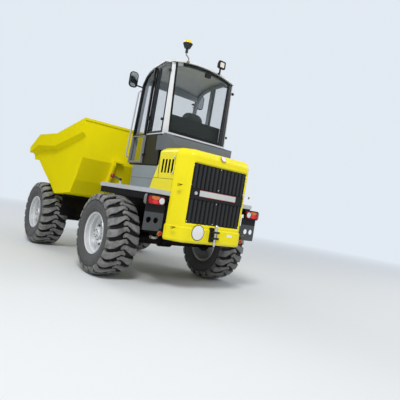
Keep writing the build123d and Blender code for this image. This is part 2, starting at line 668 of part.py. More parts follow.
with BuildPart() as cab_frame:
    with BuildSketch(CAB_SIDE):
        with BuildLine():
            Polyline(
                on_side(CAB_REAR_LOW_X, CAB_FLOOR_Z),
                on_side(CAB_FRONT_LOW_X, CAB_FLOOR_Z),
                on_side(front_post_x(FRONT_TOP_Z), FRONT_TOP_Z + ROOF_SEAT),
                *(on_side(x, under_roof(x) + ROOF_SEAT) for x in ROOF_BENDS),
                on_side(rear_post_x(CAB_TOP_Z), CAB_TOP_Z + ROOF_SEAT),
                close=True,
            )
        make_face()
        for low, high in ((PANEL_LOW_Z, CAB_SILL_Z), (WINDOW_LOW_Z, 0)):
            with BuildLine():
                top = ((rear_post_x(high) + REAR_POST_DEPTH, high), (b_post_x(high) - B_POST_BACK, high))
                if high == 0:
                    top = ((rear_post_x(CAB_TOP_Z) + REAR_POST_DEPTH, CAB_TOP_Z - CAB_POST),)
                    top += tuple((x, under_roof(x) - CAB_POST) for x in (-1545, -1380))
                    top += ((b_post_x(CAB_TOP_Z) - B_POST_BACK, under_roof(-1220) - CAB_POST),)
                Polyline(
                    on_side(b_post_x(low) - B_POST_BACK, low),
                    on_side(rear_post_x(low) + REAR_POST_DEPTH, low),
                    *(on_side(x, z) for x, z in top),
                    close=True,
                )
            make_face(mode=Mode.SUBTRACT)
        with BuildLine():
            Polyline(
                on_side(b_post_x(PANEL_LOW_Z) + B_POST_DEPTH, PANEL_LOW_Z),
                on_side(b_post_x(CAB_TOP_Z) + B_POST_DEPTH, under_roof(-1120) - CAB_POST),
                *(on_side(x, under_roof(x) - CAB_POST) for x in (-1120, -960, -890)),
                on_side(front_post_x(2960) - CAB_POST, 2960),
                on_side(front_post_x(PANEL_LOW_Z) - CAB_POST, PANEL_LOW_Z),
                close=True,
            )
        make_face(mode=Mode.SUBTRACT)
    extrude(amount=CAB_POST)
    for z, width in REAR_POST_WIDTHS:
        x = rear_post_x(z)
        with BuildSketch(Plane.XY.offset(z)):
            with Locations((x + REAR_POST_DEPTH / 2, cab_side_y(x + REAR_POST_DEPTH) - width / 2)):
                Rectangle(REAR_POST_DEPTH, width)
    loft()
    mirror(about=Plane.XZ)
    for low, high, half in (
        ((CAB_REAR_LOW_X, CAB_FLOOR_Z), (CAB_REAR_LOW_X + CAB_POST, PANEL_LOW_Z), CAB_REAR_HALF),
        ((CAB_FRONT_LOW_X - CAB_POST, CAB_FLOOR_Z), (CAB_FRONT_LOW_X, PANEL_LOW_Z), CAB_FRONT_HALF),
        (
            (rear_post_x(CAB_SILL_Z), CAB_SILL_Z),
            (rear_post_x(CAB_SILL_Z) + CAB_POST - 5, WINDOW_LOW_Z),
            CAB_REAR_HALF,
        ),
    ):
        inner = half - CAB_POST + 5
        add(box_between((low[0], -inner, low[1]), (high[0], inner, high[1])))
    with BuildSketch(REAR_FACE.offset(GLASS + 2 + SEAT_GAP)):
        with BuildLine():
            ends = (CAB_REAR_HALF - 55, crown_under(CAB_REAR_HALF - 55) - SEAT_GAP)
            crown = crown_under(0) - SEAT_GAP
            ThreePointArc(
                (-ends[0], up_rear(ends[1])), (0, up_rear(crown)), (ends[0], up_rear(ends[1]))
            )
            Line((ends[0], up_rear(ends[1])), (ends[0], up_rear(ends[1] - CAB_POST)))
            ThreePointArc(
                (ends[0], up_rear(ends[1] - CAB_POST)),
                (0, up_rear(crown - CAB_POST)),
                (-ends[0], up_rear(ends[1] - CAB_POST)),
            )
            Line((-ends[0], up_rear(ends[1] - CAB_POST)), (-ends[0], up_rear(ends[1])))
        make_face()
    extrude(amount=36)
    header_x = -806
    header_half = cab_side_y(header_x) - CAB_POST + 5
    with BuildSketch(cross_plane(header_x - 44)):
        with BuildLine():
            ThreePointArc(
                (-header_half, under_roof(header_x) + 10),
                (0, under_roof(header_x) + 70 - SEAT_GAP),
                (header_half, under_roof(header_x) + 10),
            )
            Polyline(
                (header_half, under_roof(header_x) + 10),
                (header_half, HEADER_LOW_Z),
                (-header_half, HEADER_LOW_Z),
                (-header_half, under_roof(header_x) + 10),
            )
        make_face()
    extrude(amount=44)
save(cab_frame, "cab_frame")

# Roof: a thin crowned shell that drops to the front in straight runs
with BuildPart() as cab_roof:
    for x, edge_z, rise in ROOF_STATIONS:
        half = cab_side_y(max(x, ROOF_STATIONS[1][0])) + ROOF_OVERHANG
        with BuildSketch(cross_plane(x)):
            with BuildLine():
                ThreePointArc((-half, edge_z), (0, edge_z + rise), (half, edge_z))
                Line((half, edge_z), (half, edge_z - ROOF_THICK))
                ThreePointArc(
                    (half, edge_z - ROOF_THICK), (0, edge_z + rise - ROOF_THICK), (-half, edge_z - ROOF_THICK)
                )
                Line((-half, edge_z - ROOF_THICK), (-half, edge_z))
            make_face()
    loft(ruled=True)
save(cab_roof, "cab_roof")

# Cab base: a plated box under the cab's floor, and the dark low side panels behind the doors
with BuildPart() as cab_base:
    add(box_between((-1600, -460, CAB_BASE_Z), (-700, 460, CAB_FLOOR_Z - SEAT_GAP)))
    add(box_between((-1588, -448, CAB_BASE_Z + 12), (-712, 448, CAB_FLOOR_Z - 12)), mode=Mode.SUBTRACT)
save(cab_base, "cab_base")

FLOOR_TOP_Z = CAB_FLOOR_Z + 12
with BuildPart() as cab_floor:
    add(box_between((-1570, -455, CAB_FLOOR_Z), (-735, 455, FLOOR_TOP_Z)))
    add(box_between((-1568, -450, CAB_FLOOR_Z), (-1553, 450, 2300)))
    add(box_between((-1568, -500, 2230), (-1553, 500, 2480)))
save(cab_floor, "cab_floor")

SKIN = 6.0
PANE_EDGE = 14.0
with BuildPart() as cab_panels:
    with BuildSketch(CAB_SIDE.offset(-SEAT_GAP)):
        with BuildLine():
            Polyline(
                on_side(rear_post_x(CAB_FLOOR_Z) + 3, CAB_FLOOR_Z + SKIN),
                on_side(b_post_x(CAB_FLOOR_Z) - PANE_EDGE, CAB_FLOOR_Z + SKIN),
                on_side(b_post_x(CAB_SILL_Z) - PANE_EDGE, CAB_SILL_Z),
                on_side(rear_post_x(CAB_SILL_Z) + 3, CAB_SILL_Z),
                close=True,
            )
        make_face()
    extrude(amount=-SKIN)
    mirror(about=Plane.XZ)
save(cab_panels, "cab_panels")

# Rear cowl: the dark moulding that saddles the hood's shoulders and runs up to the rear window
COWL_LOW_Z = 1900.0
COWL_TOP_Z = 2150.0
COWL_HALF = HOOD_HALF + 12
COWL_REAR_X = -1874.0
COWL_CORNER_X = -1700.0
with BuildPart() as cab_sill:
    with BuildSketch(Plane.XY.offset(COWL_LOW_Z)):
        with BuildLine():
            Polyline(
                (COWL_CORNER_X, COWL_HALF),
                (-1600, COWL_HALF),
                (-1600, -COWL_HALF),
                (COWL_CORNER_X, -COWL_HALF),
            )
            ThreePointArc(
                (COWL_CORNER_X, -COWL_HALF), (-1828, -COWL_HALF + 70), (COWL_REAR_X, -COWL_HALF + 235)
            )
            Line((COWL_REAR_X, -COWL_HALF + 235), (COWL_REAR_X, COWL_HALF - 235))
            ThreePointArc(
                (COWL_REAR_X, COWL_HALF - 235), (-1828, COWL_HALF - 70), (COWL_CORNER_X, COWL_HALF)
            )
        make_face()
    extrude(amount=COWL_TOP_Z - COWL_LOW_Z + 10)
    cowl_gap = set_back(CAB_POST) + SEAT_GAP
    with BuildSketch(side_plane(COWL_HALF + 5)):
        with BuildLine():
            Polyline(
                (COWL_REAR_X, COWL_LOW_Z),
                (COWL_REAR_X, 2010),
                (COWL_REAR_X + 22, 2085),
                (COWL_REAR_X + 70, 2138),
                (COWL_REAR_X + 104, COWL_TOP_Z),
                (COWL_REAR_X + 134, 2112),
                (rear_post_x(2112) - cowl_gap, 2112),
                (rear_post_x(COWL_LOW_Z) - cowl_gap, COWL_LOW_Z),
                close=True,
            )
        make_face()
    extrude(amount=2 * (COWL_HALF + 5), mode=Mode.INTERSECT)
    with BuildSketch(cross_plane(COWL_REAR_X - 10)):
        with BuildLine():
            Polyline(
                (-HOOD_SKIN - SEAT_GAP, COWL_LOW_Z - 200),
                (-HOOD_SKIN - SEAT_GAP, HOOD_TOP_Z - 4 + SEAT_GAP),
                (HOOD_SKIN + SEAT_GAP, HOOD_TOP_Z - 4 + SEAT_GAP),
                (HOOD_SKIN + SEAT_GAP, COWL_LOW_Z - 200),
                close=True,
            )
        make_face()
        fillet(vertices().filter_by(lambda v: v.Y > HOOD_TOP_Z - 20), radius=HOOD_ROUND - 3)
    extrude(amount=300, mode=Mode.SUBTRACT)
save(cab_sill, "cab_sill")

# Glass: flat panes, the rear one and the windscreen between the posts, the side ones on the frame
REAR_PANE_LOW_Z = WINDOW_LOW_Z + PANE_GAP
SCREEN_LOW_Z = PANEL_LOW_Z + PANE_GAP
SCREEN_TOP_Z = HEADER_LOW_Z - PANE_GAP


def screen_half(z):
    """Half width between the front posts at a height, less the seal."""
    return cab_side_y(front_post_x(z) - CAB_POST / 2) - CAB_POST - PANE_GAP


def rear_pane_half(z):
    """Half width between the rear posts at a height, less the seal."""
    (low_z, low_width), (top_z, top_width) = REAR_POST_WIDTHS
    width = low_width + (top_width - low_width) * (z - low_z) / (top_z - low_z)
    return cab_side_y(rear_post_x(z) + REAR_POST_DEPTH) - width - PANE_GAP


with BuildPart() as rear_glass:
    with BuildSketch(REAR_FACE.offset(2)):
        with BuildLine():
            pane_top_z = crown_under(rear_pane_half(CAB_TOP_Z)) - 5
            low_half = rear_pane_half(REAR_PANE_LOW_Z)
            top_half = rear_pane_half(pane_top_z)
            Polyline(
                (top_half, up_rear(pane_top_z)),
                (low_half, up_rear(REAR_PANE_LOW_Z)),
                (-low_half, up_rear(REAR_PANE_LOW_Z)),
                (-top_half, up_rear(pane_top_z)),
            )
            ThreePointArc(
                (-top_half, up_rear(pane_top_z)),
                (0, up_rear(crown_under(0) - 5)),
                (top_half, up_rear(pane_top_z)),
            )
        make_face()
    extrude(amount=GLASS)
save(rear_glass, "rear_glass")

with BuildPart() as windscreen:
    screen_plane = Plane(
        origin=(front_post_x(SCREEN_LOW_Z) - 35, 0, SCREEN_LOW_Z), x_dir=(0, 1, 0), z_dir=(1, 0, -FRONT_LEAN)
    )
    with BuildSketch(screen_plane):
        with BuildLine():
            Polyline(
                (-screen_half(SCREEN_LOW_Z), 0),
                (screen_half(SCREEN_LOW_Z), 0),
                (screen_half(SCREEN_TOP_Z), SCREEN_TOP_Z - SCREEN_LOW_Z),
                (-screen_half(SCREEN_TOP_Z), SCREEN_TOP_Z - SCREEN_LOW_Z),
                close=True,
            )
        make_face()
    extrude(amount=GLASS)
save(windscreen, "windscreen")

UNDER_EDGE = 4.0
with BuildPart() as right_pane:
    with BuildSketch(CAB_SIDE.offset(-SEAT_GAP)):
        with BuildLine():
            Polyline(
                on_side(b_post_x(CAB_FLOOR_Z) - 8, CAB_FLOOR_Z + SKIN),
                on_side(front_post_x(CAB_FLOOR_Z) - 4, CAB_FLOOR_Z + SKIN),
                on_side(front_post_x(2985) - 4, 2985),
                *(on_side(x, under_roof(x) - UNDER_EDGE) for x in (-860, -960, -1120)),
                on_side(b_post_x(CAB_TOP_Z) - 8, under_roof(b_post_x(CAB_TOP_Z) - 8) - UNDER_EDGE),
                close=True,
            )
        make_face()
    extrude(amount=-GLASS)
    mirror(about=Plane.XZ, mode=Mode.REPLACE)

with BuildPart() as side_glass:
    with BuildSketch(CAB_SIDE.offset(-SEAT_GAP)):
        with BuildLine():
            pane_end_x = b_post_x(CAB_TOP_Z) - PANE_EDGE
            Polyline(
                on_side(rear_post_x(CAB_SILL_Z) + 3, CAB_SILL_Z + PANE_GAP),
                on_side(b_post_x(CAB_SILL_Z) - PANE_EDGE, CAB_SILL_Z + PANE_GAP),
                on_side(pane_end_x, under_roof(pane_end_x) - UNDER_EDGE),
                *(on_side(x, under_roof(x) - UNDER_EDGE) for x in (-1380, -1545)),
                on_side(rear_post_x(CAB_TOP_Z) + 3, CAB_TOP_Z - UNDER_EDGE),
                close=True,
            )
        make_face()
    extrude(amount=-GLASS)
    mirror(about=Plane.XZ)
    add(right_pane.part)
save(side_glass, "side_glass")

# Door: a framed pane on two pin hinges at the middle post, over the front post's outer face
DOOR_REAR_X = B_POST_X + 30
DOOR_LOW_Z = 1712.0
DOOR_CORNER_Z = 2980.0
DOOR_THICK = 34.0
DOOR_RING = 32.0
DOOR_BAR_Z = 2140.0
HINGE_X = DOOR_REAR_X - 14
HINGE_Y = cab_side_y(HINGE_X) + 20
HINGE_PIN = 8.0
HINGE_LOWS = (1830.0, 2380.0, 2990.0)
DOOR_OUTLINE = (
    on_side(DOOR_REAR_X, DOOR_LOW_Z),
    on_side(front_post_x(DOOR_LOW_Z) - 2, DOOR_LOW_Z),
    on_side(front_post_x(DOOR_CORNER_Z) - 2, DOOR_CORNER_Z),
    on_side(-865, under_roof(-865) - 22),
    on_side(-955, under_roof(-955) - 18),
    on_side(-1090, under_roof(-1090) - 18),
    on_side(DOOR_REAR_X, under_roof(DOOR_REAR_X) - 24),
)
DOOR_BAR = (on_side(-950, DOOR_BAR_Z), 480.0, 36.0)
with BuildPart() as door_frame:
    with BuildSketch(CAB_SIDE.offset(-3 - DOOR_THICK)):
        with BuildLine():
            Polyline(*DOOR_OUTLINE, close=True)
        make_face()
        offset(amount=-DOOR_RING, kind=Kind.INTERSECTION, mode=Mode.SUBTRACT)
        with Locations(DOOR_BAR[0]):
            Rectangle(DOOR_BAR[1], DOOR_BAR[2])
        with BuildLine():
            Polyline(*DOOR_OUTLINE, close=True)
        make_face(mode=Mode.INTERSECT)
    extrude(amount=DOOR_THICK)
    for low in HINGE_LOWS:
        add(box_between((HINGE_X, HINGE_Y - 11, low + 28), (DOOR_REAR_X + 10, HINGE_Y + 11, low + 58)))
        with BuildSketch(Plane.XY.offset(low + 28)):
            with Locations((HINGE_X, HINGE_Y)):
                Circle(12)
        extrude(amount=30)
        with BuildSketch(Plane.XY.offset(low + 28)):
            with Locations((HINGE_X, HINGE_Y)):
                Circle(HINGE_PIN + RUNNING_GAP)
        extrude(amount=30, mode=Mode.SUBTRACT)
save(door_frame, "door_frame")

with BuildPart() as door_glass:
    with BuildSketch(CAB_SIDE.offset(-3 - DOOR_THICK / 2)):
        with BuildLine():
            Polyline(*DOOR_OUTLINE, close=True)
        make_face()
        offset(amount=-DOOR_RING, kind=Kind.INTERSECTION, mode=Mode.REPLACE)
        with Locations(DOOR_BAR[0]):
            Rectangle(DOOR_BAR[1], DOOR_BAR[2], mode=Mode.SUBTRACT)
    extrude(amount=GLASS)
save(door_glass, "door_glass")

with BuildPart() as door_hinges:
    for low in HINGE_LOWS:
        add(
            box_between(
                (HINGE_X - 26, cab_side_y(HINGE_X - 26) + 0.5, low), (HINGE_X + 9, HINGE_Y + 10, low + 25)
            )
        )
        with BuildSketch(Plane.XY.offset(low)):
            with Locations((HINGE_X, HINGE_Y)):
                Circle(HINGE_PIN)
        extrude(amount=62)
save(door_hinges, "door_hinges")

# Seat: cushion, round-topped back and pedestal
SEAT_BACK = Plane(origin=(-1500, 0, 2075), x_dir=(0, 1, 0), z_dir=(1, 0, 0.08))
with BuildPart() as seat:
    with BuildSketch(Plane.XY.offset(CAB_FLOOR_Z + 330)):
        with Locations((-1260, 0)):
            RectangleRounded(400, 480, 70)
    extrude(amount=110)
    with BuildSketch(SEAT_BACK):
        with Locations((0, 270)):
            RectangleRounded(450, 590, 150)
    extrude(amount=90)
    add(box_between((-1400, -160, FLOOR_TOP_Z + SEAT_GAP), (-1140, 160, CAB_FLOOR_Z + 340)))
save(seat, "seat")

# Controls: a console with the steering column and wheel
WHEEL_CENTRE = (-960.0, 0.0, 2330.0)
with BuildPart() as steering_column:
    add(box_between((-880, -200, FLOOR_TOP_Z + SEAT_GAP), (-770, 200, 2180)))
    column = Plane(origin=WHEEL_CENTRE, x_dir=(0, 1, 0), z_dir=(-0.5, 0, 0.87))
    with BuildSketch(column):
        Circle(26)
    extrude(amount=-200)
    with BuildSketch(column.offset(-8)):
        Circle(195)
        Circle(172, mode=Mode.SUBTRACT)
        Rectangle(360, 26)
        Circle(45)
    extrude(amount=22)
save(steering_column, "steering_column")

# Rear lamps, vent plates and the tow hitch
LAMP_IN = HOOD_HALF + 90
LAMP_OUT = LAMP_IN + 300
LAMP_X = -2206.0
LAMP_LOW_Z = 1120.0
LAMP_HEIGHT = 138.0
with BuildPart() as tail_lamps:
    with BuildSketch(cross_plane(LAMP_X - 26)):
        with Locations(((LAMP_IN + LAMP_OUT) / 2 - 14, LAMP_LOW_Z + LAMP_HEIGHT / 2)):
            RectangleRounded(LAMP_OUT - LAMP_IN - 56, LAMP_HEIGHT - 36, 34)
    extrude(amount=26 - SEAT_GAP)
    mirror(about=Plane.XZ)
save(tail_lamps, "tail_lamps")

with BuildPart() as lamp_brackets:
    with BuildSketch(cross_plane(LAMP_X)):
        with Locations(((LAMP_IN + LAMP_OUT) / 2, LAMP_LOW_Z + LAMP_HEIGHT / 2)):
            RectangleRounded(LAMP_OUT - LAMP_IN, LAMP_HEIGHT, 40)
    extrude(amount=28)
    with BuildSketch(cross_plane(LAMP_X + 14)):
        with Locations(((LAMP_IN + LAMP_OUT) / 2 - 34, 961)):
            RectangleRounded(LAMP_OUT - LAMP_IN - 14, 345, 14)
        with Locations((LAMP_IN + 78, 925), (LAMP_IN + 188, 925)):
            Circle(40, mode=Mode.SUBTRACT)
    extrude(amount=14)
    add(box_between((-2179, LAMP_IN + 20, 1182), (PLATFORM_REAR_X + 60 - SEAT_GAP, LAMP_IN + 100, 1250)))
    mirror(about=Plane.XZ)
save(lamp_brackets, "lamp_brackets")

with BuildPart() as tow_hitch:
    add(
        box_between(
            (HITCH_END_X + 66, -HITCH_HALF, HITCH_LOW),
            (REAR_BEAM_BACK - 20 - SEAT_GAP, HITCH_HALF, HITCH_TOP),
        )
    )
    for low in (782, 865):
        add(box_between((HITCH_END_X, -HITCH_HALF + 12, low), (HITCH_END_X + 67, HITCH_HALF - 12, low + 26)))
        with BuildSketch(Plane.XY.offset(low)):
            with Locations((TOW_PIN_X, 0)):
                Circle(TOW_PIN_RADIUS)
        extrude(amount=26, mode=Mode.SUBTRACT)
save(tow_hitch, "tow_hitch")

with BuildPart() as tow_pin:
    with BuildSketch(Plane.XY.offset(685)):
        with Locations((TOW_PIN_X, 0)):
            Circle(TOW_PIN_RADIUS)
    extrude(amount=230)
    with BuildSketch(Plane.XY.offset(892)):
        with Locations((TOW_PIN_X, 0)):
            Circle(27)
    extrude(amount=45)
save(tow_pin, "tow_pin")

# Beacon on its bent stem at the roof's rear edge, and the work lamp beside it
BEACON_X = -1642.0
BEACON_Y = 417.0
BEACON_FOOT_Y = 360.0
with BuildPart() as beacon:
    with BuildSketch(Plane(origin=(BEACON_X, BEACON_Y, 0), x_dir=(0, 1, 0), z_dir=(1, 0, 0))):
        with BuildLine():
            Polyline((14, 3590), (0, 3590), (0, 3395), (22, 3395), (22, 3452), (44, 3462), (74, 3528))
            Polyline((74, 3528), (74, 3538), (64, 3540))
            ThreePointArc((64, 3540), (49, 3574), (14, 3590))
        make_face()
    revolve(axis=Axis((BEACON_X, BEACON_Y, 0), (0, 0, 1)))
    with BuildLine() as stem_path:
        FilletPolyline(
            (BEACON_X, BEACON_Y, 3400),
            (BEACON_X, BEACON_Y, 3372),
            (BEACON_X, BEACON_FOOT_Y, 3330),
            (BEACON_X, BEACON_FOOT_Y, 3275),
            radius=14,
        )
    with BuildSketch(Plane(origin=stem_path.line @ 0, z_dir=stem_path.line % 0)):
        Circle(9)
    sweep()
    add(
        box_between(
            (BEACON_X - 14, BEACON_FOOT_Y - 16, 3262), (ROOF_REAR_X - SEAT_GAP, BEACON_FOOT_Y + 16, 3292)
        )
    )
save(beacon, "beacon")

WORK_LAMP_Y = -245.0
with BuildPart() as work_lamps:
    with BuildSketch(cross_plane(-1690)):
        with Locations((WORK_LAMP_Y, 3425)):
            RectangleRounded(136, 124, 24)
    extrude(amount=24)
    with BuildSketch(cross_plane(-1667)):
        with Locations((WORK_LAMP_Y, 3425)):
            RectangleRounded(104, 92, 20)
    extrude(amount=34)
    add(box_between((-1660, WORK_LAMP_Y - 12, 3286), (-1646, WORK_LAMP_Y + 12, 3385)))
    add(box_between((-1660, WORK_LAMP_Y - 12, 3284), (ROOF_REAR_X - SEAT_GAP, WORK_LAMP_Y + 12, 3308)))
save(work_lamps, "work_lamps")

# Mirrors on bent arms and the grab rails, both fixed to the front posts' faces
SCREEN_FACE = Plane(
    origin=(CAB_FRONT_LOW_X, 0, CAB_FLOOR_Z), x_dir=(0, 1, 0), z_dir=(1, 0, -FRONT_LEAN)
)
MIRROR_ARM_Z = 2962.0
RAIL_Y = CAB_FRONT_HALF - 28
RAIL_OUT_Y = CAB_FRONT_HALF + 64
with BuildPart() as mirrors:
    with BuildSketch(SCREEN_FACE.offset(SEAT_GAP)):
        with Locations((RAIL_Y + 18, MIRROR_ARM_Z - CAB_FLOOR_Z)):
            Rectangle(30, 48)
    extrude(amount=12)
    arm_x = front_post_x(MIRROR_ARM_Z) + 6
    add(box_between((arm_x, RAIL_Y + 8, MIRROR_ARM_Z - 10), (-662, RAIL_Y + 28, MIRROR_ARM_Z + 10)))
    add(box_between((-672, RAIL_Y + 8, MIRROR_ARM_Z - 10), (-662, 700, MIRROR_ARM_Z + 10)))
    with BuildSketch(cross_plane(-670)):
        with Locations((690, 3042)):
            RectangleRounded(150, 252, 56)
    extrude(amount=22)
    with BuildSketch(cross_plane(-649)):
        with Locations((690, 3042)):
            RectangleRounded(128, 230, 50)
    extrude(amount=20, taper=30)
    mirror(about=Plane.XZ)
save(mirrors, "mirrors")


def off_screen(y, z, out):
    """A point in front of the front posts' face."""
    return (front_post_x(z) + out, y, z - FRONT_LEAN * out)


RAIL_RADIUS = 13.0
RAIL_LOW_Z = 1775.0
RAIL_HIGH_Z = 2905.0


def rail_seat(z):
    """Where a rail's foot meets the front post, whose face falls back inwards."""
    depth = cab_side_y(front_post_x(z)) - RAIL_Y - RAIL_RADIUS
    return SEAT_GAP - set_back(depth)


with BuildPart() as grab_rails:
    with BuildLine() as rail_path:
        FilletPolyline(
            off_screen(RAIL_Y, RAIL_LOW_Z, rail_seat(RAIL_LOW_Z)),
            off_screen(RAIL_Y, RAIL_LOW_Z, 44),
            off_screen(RAIL_OUT_Y, 1820, 50),
            off_screen(RAIL_OUT_Y, 2860, 46),
            off_screen(RAIL_Y, RAIL_HIGH_Z, 44),
            off_screen(RAIL_Y, RAIL_HIGH_Z, rail_seat(RAIL_HIGH_Z)),
            radius=18,
        )
    with BuildSketch(Plane(origin=rail_path.line @ 0, z_dir=rail_path.line % 0)):
        Circle(RAIL_RADIUS)
    sweep()
    mirror(about=Plane.XZ)
save(grab_rails, "grab_rails")

# Marker lamps on rubber arms, held over the platforms by bent brackets
MARKER_Y = 833.0
with BuildPart() as marker_lamps:
    add(box_between((-1060, MARKER_Y - 20, PLATFORM_Z + SEAT_GAP), (-1000, MARKER_Y + 20, PLATFORM_Z + 6)))
    add(box_between((-1054, MARKER_Y - 15, PLATFORM_Z + 5), (-1048, MARKER_Y + 15, PLATFORM_Z + 90)))
    marker_start = Vector(-1068, MARKER_Y, PLATFORM_Z + 70)
    marker_end = Vector(-765, MARKER_Y, PLATFORM_Z + 116)
    marker_run = marker_end - marker_start
    with BuildSketch(Plane(origin=marker_start, x_dir=(0, 1, 0), z_dir=marker_run)):
        Circle(15)
    extrude(amount=marker_run.length)
    with Locations(marker_end):
        Sphere(36)
    mirror(about=Plane.XZ)
save(marker_lamps, "marker_lamps")

# Skip: an open bucket of folded plate whose side outline is shared by plates, floor and walls
SKIP_OUTLINE = (
    (SKIP_REAR_X, 2330.0),
    (1034.0, 2100.0),
    (1958.0, 2100.0),
    (2440.0, 1845.0),
    (2440.0, 1735.0),
    (2370.0, 1605.0),
    (2070.0, 1592.0),
    (1710.0, 1402.0),
    (1180.0, 1150.0),
    (925.0, 1000.0),
    (186.0, 1076.0),
    (43.0, 1300.0),
    (SKIP_REAR_X, 1681.0),
)
BAND_DROP = 235.0
BAND_OUTLINE = (
    (SKIP_REAR_X, 2330.0),
    (1034.0, 2100.0),
    (1958.0, 2100.0),
    (2440.0, 1845.0),
    (2440.0, 1735.0),
    (1958.0, 2100.0 - BAND_DROP + 15),
    (1034.0, 2100.0 - BAND_DROP),
    (SKIP_REAR_X, 2330.0 - BAND_DROP),
)
with BuildPart() as skip_band:
    with BuildSketch(side_plane(1300)):
        with BuildLine():
            Polyline(*BAND_OUTLINE, close=True)
        make_face()
    extrude(amount=2600)
    with BuildSketch(Plane.XY.offset(1500)):
        with BuildLine():
            Polyline(
                (SKIP_REAR_X - 1, SKIP_REAR_HALF),
                (2460, SKIP_FRONT_HALF),
                (2460, -SKIP_FRONT_HALF),
                (SKIP_REAR_X - 1, -SKIP_REAR_HALF),
                close=True,
            )
        make_face()
    extrude(amount=1000, mode=Mode.INTERSECT)

FOLD_DROP = 62.0
FOLD_OUT = SKIP_REAR_HALF - 2
FOLD_LINE = ((SKIP_REAR_X, 2330.0 - BAND_DROP), (1034.0, 2100.0 - BAND_DROP), (1958.0, 2115.0 - BAND_DROP))
FOLD_LINE += ((2400.0, 1748.0),)
with BuildPart() as fold:
    for y, drop in ((SKIP_PLATE_HALF - 2, FOLD_DROP), (FOLD_OUT, 3.0)):
        with BuildSketch(side_plane(y)):
            with BuildLine():
                Polyline(
                    *((x, z + 2) for x, z in FOLD_LINE),
                    *((x, z - drop) for x, z in reversed(FOLD_LINE)),
                    close=True,
                )
            make_face()
    loft(ruled=True)
    mirror(about=Plane.XZ)

with BuildPart() as band_space:
    with BuildSketch(side_plane(1300)):
        with BuildLine():
            Polyline(
                (SKIP_REAR_X + SKIP_WALL, 2500.0),
                (2440.0 - SKIP_WALL, 2500.0),
                (2440.0 - SKIP_WALL, 1850.0),
                (1958.0, 2100.0 - BAND_DROP + 15 + SKIP_WALL),
                (1034.0, 2100.0 - BAND_DROP + SKIP_WALL),
                (SKIP_REAR_X + SKIP_WALL, 2330.0 - BAND_DROP + SKIP_WALL),
                close=True,
            )
        make_face()
    extrude(amount=2600)
    with BuildSketch(Plane.XY.offset(1500)):
        with BuildLine():
            Polyline(
                (SKIP_REAR_X - 1, SKIP_REAR_HALF - SKIP_WALL),
                (2460, SKIP_FRONT_HALF - SKIP_WALL),
                (2460, -SKIP_FRONT_HALF + SKIP_WALL),
                (SKIP_REAR_X - 1, -SKIP_REAR_HALF + SKIP_WALL),
                close=True,
            )
        make_face()
    extrude(amount=1200, mode=Mode.INTERSECT)

SKIP_LUG_IN = BEAM_OUT + 6
SKIP_LUG_OUT = SKIP_LUG_IN + 28
with BuildPart() as skip:
    with BuildSketch(side_plane(SKIP_PLATE_HALF)):
        with BuildLine():
            Polyline(*SKIP_OUTLINE, close=True)
        make_face()
    extrude(amount=2 * SKIP_PLATE_HALF)
    add(skip_band.part)
    add(fold.part)
    with BuildSketch(side_plane(SKIP_PLATE_HALF - SKIP_WALL)):
        with BuildLine():
            Polyline(*SKIP_OUTLINE, close=True)
        make_face()
        offset(amount=-SKIP_WALL, kind=Kind.INTERSECTION, mode=Mode.REPLACE)
    extrude(amount=2 * (SKIP_PLATE_HALF - SKIP_WALL), mode=Mode.SUBTRACT)
    add(band_space.part, mode=Mode.SUBTRACT)
    add(box_between((SKIP_REAR_X - 16, -SKIP_REAR_HALF, 2292), (SKIP_REAR_X + 2, SKIP_REAR_HALF, 2330)))
    for y in (SKIP_LUG_IN, -SKIP_LUG_OUT):
        with BuildSketch(side_plane(y + SKIP_LUG_OUT - SKIP_LUG_IN)):
            with BuildLine():
                Polyline((1600, 1352), (1648, 1075), (1752, 1075), (1810, 1450), close=True)
            make_face()
            with Locations((SKIP_HINGE_X, SKIP_HINGE_Z)):
                Circle(55)
            with Locations((SKIP_HINGE_X, SKIP_HINGE_Z)):
                Circle(SKIP_HINGE_PIN + RUNNING_GAP, mode=Mode.SUBTRACT)
        extrude(amount=SKIP_LUG_OUT - SKIP_LUG_IN)
    for y in (TIP_Y, -TIP_Y):
        with BuildSketch(side_plane(y + 16)):
            with BuildLine():
                Polyline(
                    (1250, 1188), (TIP_EYE[0] - 34, 1045), (TIP_EYE[0] + 34, 1045), (1440, 1278), close=True
                )
            make_face()
            with Locations(TIP_EYE):
                Circle(34)
        extrude(amount=32)
save(skip, "skip")

with BuildPart() as skip_brackets:
    with BuildSketch(side_plane(560)):
        with BuildLine():
            Polyline(
                (SKIP_REAR_X - 70, 1735),
                (SKIP_REAR_X - SEAT_GAP, 1735),
                (SKIP_REAR_X - SEAT_GAP, 1681),
                (43 - SEAT_GAP, 1300),
                (81, 1240),
                (20, 1240),
                (-60, 1300),
                (SKIP_REAR_X - 70, 1640),
                close=True,
            )
        make_face()
    extrude(amount=40)
    add(box_between((SKIP_REAR_X - 70, 370, 1700), (SKIP_REAR_X - SEAT_GAP, 521, 1735)))
    mirror(about=Plane.XZ)
save(skip_brackets, "skip_brackets")

LASHING_Y = 200.0
LASHING_Z = 820.0
LASHING_RADIUS = 25.0
